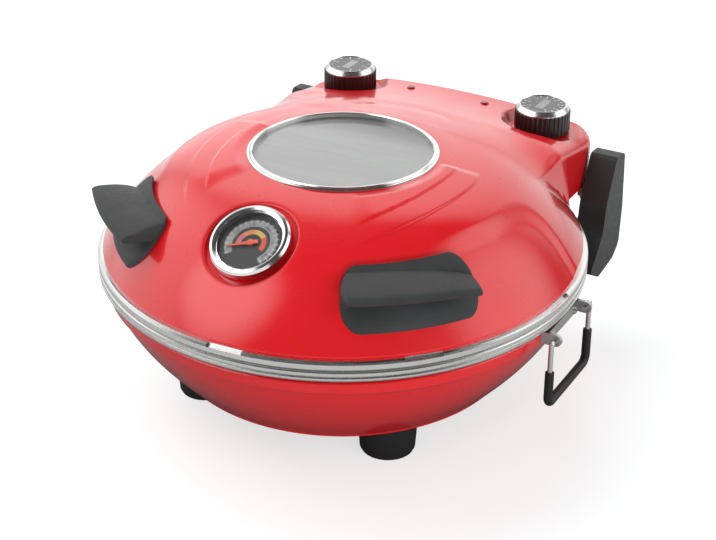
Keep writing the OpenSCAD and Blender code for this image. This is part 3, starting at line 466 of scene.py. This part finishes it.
# The two lines of the leaf beside the window: the radius at the lid's side, the turn in degrees
# at which it starts to run out, how fast it does ahead of the side and behind it, and the power
# of the turn that it follows behind.
LEAF_LINES = ((84.5, 2, 0.0075, 0.05, 1), (102.5, 0, 0.0062, -0.012, 2))
LEAF_STEP, LEAF_SOFT = 1.1, 1.2
LEAF_REAR, LEAF_FRONT, LEAF_FADE_R = (-14, -8), (47, 58), (70, 80)

NORMAL_STEP = 0.15


def smooth(low, high, value):
    t = np.clip((value - low) / (high - low), 0, 1)
    return t * t * (3 - 2 * t)


def dome(r):
    return LIP_H + (LID_RISE - LIP_H) * (1 - (r / DOME_R) ** 4)


def edge_drop(d):
    """How far the console's sheet has rounded down at a distance d inside its edge."""
    inside = CONSOLE_EDGE_R - np.sqrt(
        np.maximum(CONSOLE_EDGE_R ** 2 - np.clip(CONSOLE_EDGE_R - d, 0, CONSOLE_EDGE_R) ** 2, 0))
    beyond = CONSOLE_EDGE_R - EDGE_FALL * d
    return np.where(d >= CONSOLE_EDGE_R, 0, np.where(d >= 0, inside, beyond))


def console_inset(x, y):
    """How far a point lies inside the console's rounded outline."""
    qx = np.abs(x) - (CONSOLE_HALF_W - CONSOLE_CORNER_R)
    qy = y - (CONSOLE_BACK - CONSOLE_CORNER_R)
    return (CONSOLE_CORNER_R - np.hypot(np.maximum(qx, 0), np.maximum(qy, 0))
            - np.minimum(np.maximum(qx, qy), 0))


def soft_max(a, b, k):
    h = np.maximum(k - np.abs(a - b), 0)
    return np.maximum(a, b) + h * h / (4 * k)


def console_top(x, y):
    """The console's sheet: a ramp that falls back from the dome, crowned across."""
    back = np.clip((CONSOLE_BACK - y) / (CONSOLE_BACK - CONSOLE_FRONT), 0, 1)
    return (CONSOLE_H + (LID_RISE - CONSOLE_UNDER_TOP - CONSOLE_H) * back ** RAMP_BEND
            - CONSOLE_CROWN * (x / CROWN_WIDTH) ** 2
            - SIDE_SHED * np.maximum(0, np.abs(x) - CONSOLE_FLAT) ** 2
            - edge_drop(console_inset(x, y)))


def shoulder(x, y, r):
    """Low swelling of the lid's top, which ends in a soft valley above the handles."""
    inside = soft_max(SHOULDER_R - r, y - SHOULDER_BACK, SHOULDER_BLEND)
    return (SHOULDER_H * smooth(*SHOULDER_EDGE, inside) * smooth(*SHOULDER_FADE_Y, y)
            * smooth(*SHOULDER_FADE_R, r))


def leaf_radius(turn, side, start, ahead, behind, power):
    """Radius of a leaf's line, at a turn in degrees ahead of the lid's side."""
    return (side + ahead * np.maximum(turn - start, 0) ** 2
            + behind * np.maximum(-turn, 0) ** power)


def leaf(x, y, r):
    """Two shallow steps beside the window that run together at the ends of a leaf."""
    turn = -np.degrees(np.arctan2(y, np.abs(x)))
    ends = smooth(*LEAF_REAR, turn) * (1 - smooth(*LEAF_FRONT, turn))
    steps = 2 - sum(smooth(-LEAF_SOFT, LEAF_SOFT, r - leaf_radius(turn, *line))
                    for line in LEAF_LINES)
    return LEAF_STEP * ends * steps * smooth(*LEAF_FADE_R, r)


def lid_height(x, y):
    r = np.hypot(x, y)
    plain = dome(r)
    sheet = console_top(x, y)
    top = (plain + np.maximum(0, sheet - plain) * smooth(*CONSOLE_RISE, y)
           + shoulder(x, y, r) + leaf(x, y, r))
    seat = smooth(SEAT_R, SEAT_R + SEAT_FADE, np.hypot(np.abs(x) - KNOB_X, y - KNOB_Y))
    return top * seat + KNOB_SEAT_H * (1 - seat)


def lid_normals(x, y):
    step = NORMAL_STEP
    dx = (lid_height(x + step, y) - lid_height(x - step, y)) / (2 * step)
    dy = (lid_height(x, y + step) - lid_height(x, y - step)) / (2 * step)
    normals = np.stack([-dx, -dy, np.ones_like(dx)], axis=-1)
    return normals / np.linalg.norm(normals, axis=-1, keepdims=True)


def console_reach(angle):
    """How far the console's outline lies from the bowl's axis, at an angle in radians."""
    c, s = abs(math.cos(angle)), math.sin(angle)
    t = min(CONSOLE_HALF_W / max(c, 0.001), CONSOLE_BACK / max(s, 0.001))
    cx, cy = CONSOLE_HALF_W - CONSOLE_CORNER_R, CONSOLE_BACK - CONSOLE_CORNER_R
    along = c * cx + s * cy
    if t * c > cx and t * s > cy:
        return along + math.sqrt(CONSOLE_CORNER_R ** 2 - cx * cx - cy * cy + along * along)
    return t


def lid_reach(angle):
    return DOME_R if math.sin(angle) <= 0 else max(DOME_R, console_reach(angle))


# ---- Small builders ----

def part_point(points, z=LID_Z):
    """From millimetres about the bowl's axis to metres in the part's frame."""
    return (np.asarray(points, float) + (0, AXIS_Y, z)) * MM


def polar(radius, turn, z):
    """A point at a turn in degrees, measured anticlockwise from the right."""
    return (radius * math.cos(math.radians(turn)), radius * math.sin(math.radians(turn)), z)


def make_piece(name, points, faces, material, body, replaced, normals=None):
    mesh = bpy.data.meshes.new(name)
    mesh.from_pydata([tuple(p) for p in points], [], [tuple(f) for f in faces])
    mesh.materials.append(material)
    mesh.polygons.foreach_set("use_smooth", [True] * len(mesh.polygons))
    if normals is not None:
        mesh.normals_split_custom_set_from_vertices([tuple(n) for n in normals])
    piece = link_object(name, mesh)
    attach(piece, body)
    if replaced:
        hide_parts(*replaced)
    return piece


def crease(piece, degrees):
    """Smooth shading that keeps the edges sharper than this crisp."""
    piece.data.set_sharp_from_angle(angle=math.radians(degrees))


def joined_sections(rows, columns, closed):
    """The faces between closed sections, each a row of points. Closed joins last to first."""
    faces = []
    for i in range(rows if closed else rows - 1):
        for j in range(columns):
            a, b = i * columns + j, (i + 1) % rows * columns + j
            j2 = (j + 1) % columns
            faces.append((a, b, b - j + j2, a - j + j2))
    return faces


class Sheets:
    """Patches of one mesh, each with its own points, so that the edges between them stay crisp."""

    def __init__(self):
        self.points, self.normals, self.faces = [], [], []

    def patch(self, points, faces, normals=None):
        """Without normals, the patch keeps those of its own faces."""
        base = len(self.points)
        self.points.extend(map(tuple, points))
        self.normals.extend(map(tuple, np.zeros((len(points), 3)) if normals is None else normals))
        self.faces.extend(tuple(base + k for k in face) for face in faces)

    def band(self, rows):
        """A band round the axis, from open rows of points. The last row joins the first."""
        rows = np.asarray(rows, float)
        n, m = rows.shape[:2]
        self.patch(rows.reshape(-1, 3),
                   [(i * m + j + 1, (i + 1) % n * m + j + 1, (i + 1) % n * m + j, i * m + j)
                    for i in range(n) for j in range(m - 1)])


# ---- The lid ----

DIAL_MIDDLE = np.array([0.0, -DIAL_Y, dome(DIAL_Y) - DIAL_SINK])
TILT = math.radians(DIAL_TILT)
DIAL_RIGHT = np.array([1.0, 0.0, 0.0])
DIAL_UP = np.array([0.0, math.cos(TILT), math.sin(TILT)])
DIAL_OUT = np.array([0.0, -math.sin(TILT), math.cos(TILT)])

# The lid's height over the dial is looked for between these two, by halving the gap.
OVER_DIAL = (-15.0, 30.0)
HALVINGS = 40

# The grid's rows round the axis, and its columns: up to the fine zone over the console's edge,
# across that zone, and from there to the lid's edge.
LID_TURNS = 720
COLUMNS = (56, 40, 14)
FINE_IN, FINE_OUT, FINE_LEAST = 11, 13, 16
PLAIN_LEAST, EDGE_LEAST = 20, 1.5

# The block of the grid that gives way to a mesh round the pocket, as rows to either side of the
# front and as first and last column, and the ring in it where the pocket starts. No point of
# the grid is kept nearer to the ring than RING_CLEAR.
BLOCK_HALF = 64
BLOCK_COLUMNS = (4, -3)
RING_R, RING_STEPS = POCKET_R + 7, 160
RING_CLEAR, RING_TOUCH = 0.7, 0.02
MERGE = 1e-6

# The pocket's section: how far out the skin near it has a point, then its rolled lip.
POCKET_SKIRT = 4.5
LIP_R = 1.8
LIP_TURNS = range(15, 91, 15)
# The pocket's wall ends, and its floor begins, at this column of its section.
WALL_FOOT = 11
POCKET_FLOOR = (POCKET_R - 0.01, 20.0, 4.0)

# The straight outer wall's points. The underside takes every fourth row, and stays clear of the
# pocket.
WALL_STEPS = 6
UNDER_EVERY, UNDER_COLUMNS, UNDER_CLEAR = 4, 60, 3


def on_dial(radius, turn, lift):
    """A point over the dial's plane, at a turn in radians."""
    return (DIAL_MIDDLE + radius * (math.cos(turn) * DIAL_RIGHT + math.sin(turn) * DIAL_UP)
            + lift * DIAL_OUT)


def off_dial_axis(point):
    arm = point - DIAL_MIDDLE
    return math.hypot(arm @ DIAL_RIGHT, arm @ DIAL_UP)


def lid_over_dial(radius, turn):
    """The lid's height along the dial's axis, over a point of the dial's plane."""
    low, high = OVER_DIAL
    for _ in range(HALVINGS):
        middle = (low + high) / 2
        p = on_dial(radius, turn, middle)
        if p[2] > lid_height(p[0], p[1]):
            high = middle
        else:
            low = middle
    return low


def lid_radii(angle):
    """The radii of one row of the lid's grid, which is finest over the console's edge."""
    out = lid_reach(angle)
    side = min(console_reach(angle), out)
    fine_end = min(side + FINE_OUT, out - EDGE_LEAST)
    fine_start = max(min(side - FINE_IN, fine_end - FINE_LEAST), WINDOW_R + PLAIN_LEAST)
    return np.concatenate([np.linspace(WINDOW_R, fine_start, COLUMNS[0])[:-1],
                           np.linspace(fine_start, fine_end, COLUMNS[1])[:-1],
                           np.linspace(fine_end, out, COLUMNS[2])])


def round_pocket(block, ring):
    """Points and faces that fill the block of the grid, outside the ring round the pocket."""
    n, m = block.shape[:2]
    edge = ([(i, 0) for i in range(n)] + [(n - 1, j) for j in range(1, m)]
            + [(i, m - 1) for i in range(n - 2, -1, -1)] + [(0, j) for j in range(m - 2, 0, -1)])
    points = [block[ij] for ij in edge] + list(ring)
    points += [block[i, j] for i in range(1, n - 1) for j in range(1, m - 1)
               if off_dial_axis(block[i, j]) > RING_R + RING_CLEAR]
    count = len(edge)
    borders = ([(k, (k + 1) % count) for k in range(count)]
               + [(count + k, count + (k + 1) % RING_STEPS) for k in range(RING_STEPS)])
    flat, _, triangles, *_ = delaunay_2d_cdt([Vector(p[:2]) for p in points], borders, [], 0, MERGE)
    flat = np.array([tuple(v) for v in flat])
    solid = np.column_stack([flat, lid_height(flat[:, 0], flat[:, 1])])

    # The mesher also fills the ring and the block's hollow sides: those triangles are dropped.
    first, last = (math.degrees(math.atan2(*block[i, 0, 1::-1])) % 360 for i in (0, -1))
    low, high = (math.hypot(*block[0, j, :2]) for j in (0, -1))
    kept = []
    for triangle in triangles:
        a, b, c = corners = solid[list(triangle)]
        centre = corners.mean(axis=0)
        turn = math.degrees(math.atan2(centre[1], centre[0])) % 360
        if (off_dial_axis(centre) >= RING_R - RING_TOUCH and first < turn < last
                and low < math.hypot(*centre[:2]) < high):
            area = (b[0] - a[0]) * (c[1] - a[1]) - (b[1] - a[1]) * (c[0] - a[0])
            kept.append(tuple(triangle) if area > 0 else tuple(triangle)[::-1])
    return solid, kept


def pocket_section(turn):
    """The skin near the pocket, its rolled lip, its wall and its floor, at a turn in radians."""
    line = [on_dial(r, turn, lid_over_dial(r, turn))
            for r in (RING_R, POCKET_R + POCKET_SKIRT, POCKET_R + LIP_R)]
    crown = lid_over_dial(POCKET_R + LIP_R, turn) - LIP_R
    for bend in map(math.radians, LIP_TURNS):
        line.append(on_dial(POCKET_R + LIP_R * (1 - math.sin(bend)), turn,
                            crown + LIP_R * math.cos(bend)))
    line += [on_dial(POCKET_R, turn, crown * share) for share in (0.5, 0.0)]
    return line + [on_dial(r, turn, 0.0) for r in POCKET_FLOOR]


def under_section(angle):
    """The underside of the lid's sheet, from its outer edge to the window's rim."""
    c, s = math.cos(angle), math.sin(angle)
    out = lid_reach(angle)
    line = [(out * c, out * s, 0)]
    for r in np.linspace(out - LID_WALL, WINDOW_R, UNDER_COLUMNS):
        line.append((r * c, r * s, float(lid_height(r * c, r * s)) - LID_WALL))
    return line + [(WINDOW_R * c, WINDOW_R * s, float(lid_height(WINDOW_R * c, WINDOW_R * s)))]


def build_lid():
    """The lid's shell: a fine polar grid, with a round pocket for the thermometer."""
    sheets = Sheets()
    angles = [2 * math.pi * k / LID_TURNS for k in range(LID_TURNS)]
    ring_turns = [2 * math.pi * k / RING_STEPS for k in range(RING_STEPS)]
    radii = np.array([lid_radii(a) for a in angles])
    x = radii * np.cos(angles)[:, None]
    y = radii * np.sin(angles)[:, None]
    top = np.stack([x, y, lid_height(x, y)], axis=-1)
    rows, columns = radii.shape

    front = int(LID_TURNS * 0.75)
    i0, i1 = front - BLOCK_HALF, front + BLOCK_HALF
    j0, j1 = BLOCK_COLUMNS[0], columns + BLOCK_COLUMNS[1]
    faces = []
    for i in range(rows):
        for j in range(columns - 1):
            if not (i0 <= i < i1 and j0 <= j < j1):
                a, b = i * columns + j, (i + 1) % rows * columns + j
                faces.append((a, a + 1, b + 1, b))
    sheets.patch(top.reshape(-1, 3), faces, lid_normals(x, y).reshape(-1, 3))
    ring = [on_dial(RING_R, turn, lid_over_dial(RING_R, turn)) for turn in ring_turns]
    points, faces = round_pocket(top[i0:i1 + 1, j0:j1 + 1], ring)
    sheets.patch(points, faces, lid_normals(points[:, 0], points[:, 1]))

    pocket = np.array([pocket_section(turn) for turn in ring_turns])
    sheets.band(pocket[:, :WALL_FOOT + 1])
    sheets.band(pocket[:, WALL_FOOT:])
    sheets.band([[(*edge[:2], edge[2] * (1 - t)) for t in np.linspace(0, 1, WALL_STEPS)]
                 for edge in top[:, -1]])

    under = np.array([under_section(angle) for angle in angles[::UNDER_EVERY]])
    n, m = under.shape[:2]
    under = under.reshape(-1, 3)
    faces = []
    for i in range(n):
        for j in range(m - 1):
            a, b = i * m + j, (i + 1) % n * m + j
            face = (a, a + 1, b + 1, b)
            if off_dial_axis(under[list(face)].mean(axis=0)) > POCKET_R + UNDER_CLEAR:
                faces.append(face)
    sheets.patch(under, faces)
    make_piece("lid_skin", part_point(sheets.points), sheets.faces, RED, "lid", ["lid_shell"],
               sheets.normals)


# ---- Base bowl ----

BOWL_BEND = 1.59
BOWL_SEGMENTS, BOWL_CREASE = 288, 32
# The side's start below the bowl's top, its points, and how far its inner face lies in and up
# from the outer one, in wall thicknesses.
SIDE_TOP, SIDE_POINTS, SIDE_IN, SIDE_UP = 14.5, 48, 1.6, 0.5
# The rounded corner between the side and the floor, and how far in the floor's rings lie.
CORNER_R, CORNER_H, CORNER_START, CORNER_POINTS = 9, 4, 0.15, 10
FLOOR_IN_OUTSIDE, FLOOR_IN_INSIDE, FLOOR_MIDDLE = 4, 1, 0.01
# The radius and the depth under the bowl's top of each point of its neck, outside and inside.
NECK_OUTSIDE = [(NECK_R - 2, 0), (NECK_R - 2, 3.4), (BOWL_R - 1.8, 3.6), (BOWL_R - 0.6, 4.0),
                (BOWL_R, 4.8), (BOWL_R - 0.2, 8), (BOWL_R - 0.6, 12)]
NECK_INSIDE = [(BOWL_R - 0.6 - BOWL_WALL, 12), (BOWL_R - BOWL_WALL, 5.5),
               (NECK_R - 2 - BOWL_WALL, 4.4), (NECK_R - 2 - BOWL_WALL, BOWL_WALL),
               (NECK_R - 7, BOWL_WALL), (NECK_R - 7, 0)]


def bowl_radius(depth):
    return BOWL_R - BOWL_DRAW * (max(depth, 0) / (BOWL_DEPTH - CORNER_H)) ** BOWL_BEND


def build_bowl():
    """The bowl, with a neck that lies in shadow behind the steel rim."""
    top = FOOT_H + BOWL_DEPTH
    deepest = BOWL_DEPTH - CORNER_H
    corner = bowl_radius(deepest)
    floor_r = corner - CORNER_R
    depths = np.linspace(SIDE_TOP, deepest, SIDE_POINTS)
    outline = [(r, top - depth) for r, depth in NECK_OUTSIDE]
    outline += [(bowl_radius(depth), top - depth) for depth in depths]
    outline += [(corner - CORNER_R * (1 - math.cos(a)), FOOT_H + CORNER_H * (1 - math.sin(a)))
                for a in np.linspace(CORNER_START, math.pi / 2, CORNER_POINTS)]
    outline += [(floor_r - FLOOR_IN_OUTSIDE, FOOT_H), (FLOOR_MIDDLE, FOOT_H)]
    inner_floor = FOOT_H + BOWL_WALL
    outline += [(FLOOR_MIDDLE, inner_floor), (floor_r - FLOOR_IN_INSIDE, inner_floor)]
    outline += [(bowl_radius(depth) - SIDE_IN * BOWL_WALL, top - depth + SIDE_UP * BOWL_WALL)
                for depth in depths[::-1]]
    outline += [(r, top - depth) for r, depth in NECK_INSIDE]
    rows = [[polar(r, 360 * k / BOWL_SEGMENTS, z) for r, z in outline]
            for k in range(BOWL_SEGMENTS)]
    points = part_point(np.array(rows).reshape(-1, 3), 0)
    faces = joined_sections(BOWL_SEGMENTS, len(outline), True)
    crease(make_piece("bowl_skin", points, faces, RED, "base", ["base_bowl"]), BOWL_CREASE)


# ---- Handles ----

HANDLE_STEPS = 96
HANDLE_CREASE = 40
# The plate: how far its edges stand over the dome, how far out its middle lies, and the share of
# its height that it loses at its rounded ends.
PLATE_LIFT, PLATE_MIDDLE, PLATE_THINNER = 0.3, 15, 0.35
# The plate's rounded edges: how far each point lies out, and at what share of the height.
PLATE_INNER_EDGE = ((-0.2, 0.55), (0.6, 0.95))
PLATE_OUTER_EDGE, PLATE_TOP_IN, PLATE_TOP_POINTS = 0.6, 0.8, 5
# The fin: where it springs from the plate, where its underside meets the plate again, the share
# of its length over which its front end rounds, and how it swells and rounds down.
ROOT_OUT, ROOT_SWEEP = 4.5, 10
UNDER_OUT = 18
FRONT_ROUND = 0.05
FIN_CAMBER, FIN_SWELL = 1.4, 0.8
EDGE_FROM, EDGE_DROP, EDGE_BEND = 0.85, 2.2, 2.2
UNDER_SLOPE, UNDER_ROUNDED = 0.06, 0.5
# The shares of the fin's reach at which its upper and its lower side have a point.
OVER_STEPS = (0.04, 0.1, 0.2, 0.32, 0.45, 0.58, 0.7, 0.8, 0.87, 0.92, 0.96, 0.985, 1.0)
UNDER_STEPS = (0.985, 0.95, 0.9, 0.8, 0.65, 0.5, 0.35)


def fin_root(share):
    """Where the fin springs from the plate: further out towards its rear."""
    return HANDLE_IN + ROOT_OUT + ROOT_SWEEP * share ** 3


def fin_reach(share):
    """The radius of the fin's edge, and how much of its reach is left near its two ends."""
    length = FIN_REAR - FIN_FRONT
    corner = (FIN_CORNER - FIN_FRONT) / length
    tip = min(1, share * length / (FIN_CORNER - FIN_FRONT))
    edge = FIN_R + FIN_TIP * tip ** 3 - FIN_DRAW * (1 - share) ** 4
    front = math.sqrt(max(0, 1 - (1 - min(share / FRONT_ROUND, 1)) ** 2))
    return edge, front * (1 - max(0, (share - corner) / (1 - corner)))


def fin_section(share, root, plate):
    """The fin's upper and lower side, from its root out to its rounded edge and back."""
    edge, part = fin_reach(share)
    reach = (edge - root) * part
    start = dome(root) + plate
    end = FIN_EDGE_H + FIN_CAMBER * math.sin(math.pi * share)
    points = [(root, start)]
    for along in OVER_STEPS:
        r = root + reach * along
        span = (r - root) / (edge - root)
        level = start + (end - start) * span
        level += FIN_SWELL * math.sin(math.pi * min(span, 1) ** 0.7)
        level -= EDGE_DROP * max(0, (along - EDGE_FROM) / (1 - EDGE_FROM)) ** EDGE_BEND
        points.append((r, max(level, dome(r) + plate)))
    edge_h = points[-1][1]
    thick = FIN_THICK * min(1, part * 3)
    for along in UNDER_STEPS:
        r = root + reach * along
        rounded = UNDER_ROUNDED if along == UNDER_STEPS[0] else 1
        low = edge_h - thick * rounded - UNDER_SLOPE * (1 - along) * reach
        points.append((r, max(low, dome(r) + plate)))
    return points


def handle_section(t):
    """One closed section, outward from the bowl's axis, at the share t from front to rear."""
    # The plate's ends are rounded: both of its edges draw in towards the middle there.
    turn = (2 * t - 1) * HANDLE_SPAN
    off = max(0, abs(turn) - HANDLE_SPAN + HANDLE_CORNER_TURN) / HANDLE_CORNER_TURN
    draw = HANDLE_CORNER * (1 - math.sqrt(max(0, 1 - off ** 2)))
    middle = HANDLE_IN + PLATE_MIDDLE
    inner = min(HANDLE_IN + draw, middle - 1)
    outer = max(HANDLE_OUT - draw, middle + 1)
    plate = HANDLE_PLATE * (1 - PLATE_THINNER * off ** 3)
    points = [(inner, dome(inner) + PLATE_LIFT)]
    points += [(inner + out, dome(inner) + plate * share) for out, share in PLATE_INNER_EDGE]
    # The fin springs from the plate and runs out, nearly level, to a rounded edge.
    share = min(max((turn - FIN_FRONT) / (FIN_REAR - FIN_FRONT), 0), 1)
    foot = min(HANDLE_IN + UNDER_OUT, outer - 1)
    root = min(max(fin_root(share), inner + 1), foot - 0.5)
    points += fin_section(share, root, plate)
    points += [(r, dome(r) + plate)
               for r in np.linspace(foot, outer - PLATE_TOP_IN, PLATE_TOP_POINTS)]
    return points + [(outer, dome(outer) + height)
                     for height in (plate * PLATE_OUTER_EDGE, PLATE_LIFT)]


def build_handle(name, side):
    rows = []
    for k in range(HANDLE_STEPS + 1):
        t = 0.5 - 0.5 * math.cos(math.pi * k / HANDLE_STEPS)
        turn = -90 + side * (HANDLE_TURN + HANDLE_SPAN * (2 * t - 1))
        rows.append([polar(r, turn, z) for r, z in handle_section(t)])
    rows = np.array(rows)
    n, m = rows.shape[:2]
    ends = [tuple(range(m))[::-1], tuple((n - 1) * m + k for k in range(m))]
    faces = joined_sections(n, m, False) + ends
    if side > 0:
        faces = [face[::-1] for face in faces]
    points = part_point(rows.reshape(-1, 3))
    crease(make_piece(name + "_moulding", points, faces, HANDLE, "lid", [name]), HANDLE_CREASE)


# ---- Printed faces ----

# The dial: the lift of its face over the pocket's floor and of the ticks and numbers over the
# face, then the ring, the ticks, the colour bands and the numbers, as radii and widths in
# millimetres and turns in degrees.
DIAL_FACE, TICKS_OVER, NUMBERS_OVER = 2.85, 0.03, 0.06
DIAL_RING = (-45, 225, 13.6, 18.6, 90)
DIAL_TICKS, DIAL_TICK = range(-40, 221, 13), (16.2, 19.6, 0.5)
DIAL_BANDS = [(150, 205, ROSE), (95, 150, ORANGE), (45, 95, YELLOW), (-20, 45, SCARLET)]
DIAL_BAND = (7.4, 11.0, 18)
DIAL_NUMBERS, DIAL_NUMBER_R, DIAL_NUMBER_SIZE = range(205, -26, -46), 15.4, 3.4
DIAL_FIRST, DIAL_STEP = 50, 70

# The knobs' faces, in the same way. Each print lies a little over the one below it.
KNOB_DISC = (0, 360, 0.001, 17.1, 72)
KNOB_START, KNOB_TRAVEL = -60, 300
KNOB_TICK = (13.6, 16.2, 0.7)
KNOB_POINTER = (-9, 9, 6.4)
KNOB_NUMBER_R, KNOB_NUMBER_SIZE = 11.6, 3.6
KNOB_LIFTS = {"face": 0.05, "pointer": 0.08, "ticks": 0.09, "numbers": 0.11}


class Plane:
    """A flat place for printed marks: its middle, its two directions and the way it faces."""

    def __init__(self, middle, right, up):
        self.middle, self.right, self.up = (np.array(v, float) for v in (middle, right, up))
        self.out = np.cross(self.right, self.up)

    def place(self, points, lift):
        return [self.middle + x * self.right + y * self.up + lift * self.out for x, y in points]


def print_marks(name, plane, outlines, lift, material, body):
    """Flat marks, each a convex outline in the plane, in one mesh."""
    points, faces = [], []
    for outline in outlines:
        faces.append(tuple(range(len(points), len(points) + len(outline))))
        points.extend(plane.place(outline, lift))
    make_piece(name, part_point(points), faces, material, body, None)


def bar(turn, inner, outer, width):
    """A straight mark that points away from the middle."""
    c, s = math.cos(math.radians(turn)), math.sin(math.radians(turn))
    return [(r * c - w * s, r * s + w * c) for r, w in
            ((inner, -width / 2), (outer, -width / 2), (outer, width / 2), (inner, width / 2))]


def arc_band(start, end, inner, outer, steps):
    """The pieces of a ring's band between two turns."""
    turns = [start + (end - start) * k / steps for k in range(steps + 1)]
    return [[polar(inner, a, 0)[:2], polar(outer, a, 0)[:2], polar(outer, b, 0)[:2],
             polar(inner, b, 0)[:2]] for a, b in zip(turns, turns[1:])]


def numeral(text, size, middle, turn=0.0):
    """The outlines of a plain number, as small convex faces."""
    curve = bpy.data.curves.new("numeral", "FONT")
    curve.body, curve.size, curve.align_x, curve.align_y = text, size, "CENTER", "CENTER"
    curve.resolution_u = 2
    letters = link_object("numeral", curve)
    bpy.context.view_layer.update()
    flat = letters.evaluated_get(bpy.context.evaluated_depsgraph_get()).to_mesh()
    c, s = math.cos(math.radians(turn)), math.sin(math.radians(turn))
    spots = [(middle[0] + v.co.x * c - v.co.y * s, middle[1] + v.co.x * s + v.co.y * c)
             for v in flat.vertices]
    outlines = [[spots[k] for k in face.vertices] for face in flat.polygons]
    bpy.data.objects.remove(letters)
    bpy.data.curves.remove(curve)
    return outlines


def build_dial():
    """The thermometer's face: a grey ring of marks, plain numbers and a band of warming colours."""
    dial = Plane(DIAL_MIDDLE, DIAL_RIGHT, DIAL_UP)
    print_marks("dial_ring", dial, arc_band(*DIAL_RING), DIAL_FACE, MARK_GREY, "lid")
    ticks = [bar(turn, *DIAL_TICK) for turn in DIAL_TICKS]
    print_marks("dial_ticks", dial, ticks, DIAL_FACE + TICKS_OVER, MARK_WHITE, "lid")
    for k, (start, end, material) in enumerate(DIAL_BANDS):
        band = arc_band(start, end, *DIAL_BAND)
        print_marks(f"dial_band_{k + 1}", dial, band, DIAL_FACE, material, "lid")
    numbers = []
    for k, turn in enumerate(DIAL_NUMBERS):
        spot = polar(DIAL_NUMBER_R, turn, 0)[:2]
        numbers += numeral(str(DIAL_FIRST + DIAL_STEP * k), DIAL_NUMBER_SIZE, spot, turn - 90)
    print_marks("dial_numbers", dial, numbers, DIAL_FACE + NUMBERS_OVER, MARK_BLACK, "lid")


def build_knob_face(name, side, steps, body):
    """A dark face inside the knob's bright ring, with ticks, plain numbers and a pointer."""
    knob = Plane((side * KNOB_X, KNOB_Y, KNOB_TOP), (1, 0, 0), (0, 1, 0))
    turns = [KNOB_START + KNOB_TRAVEL * k / steps for k in range(steps + 1)]
    numbers = []
    for k in range(0, steps + 1, 2):
        numbers += numeral(str(k), KNOB_NUMBER_SIZE, polar(KNOB_NUMBER_R, turns[k], 0)[:2])
    for part, marks, material in (
            ("face", arc_band(*KNOB_DISC), KNOB_FACE),
            ("ticks", [bar(turn, *KNOB_TICK) for turn in turns], MARK_WHITE),
            ("pointer", [bar(90, *KNOB_POINTER)], MARK_GREY),
            ("numbers", numbers, MARK_WHITE)):
        print_marks(f"{name}_{part}", knob, marks, KNOB_LIFTS[part], material, body)


build_lid()
build_bowl()
for side, word in ((-1, "left"), (1, "right")):
    build_handle(f"handle_{word}", side)
build_dial()
build_knob_face("thermostat", -1, 10, "thermostat_control")
build_knob_face("timer", 1, 15, "timer_control")
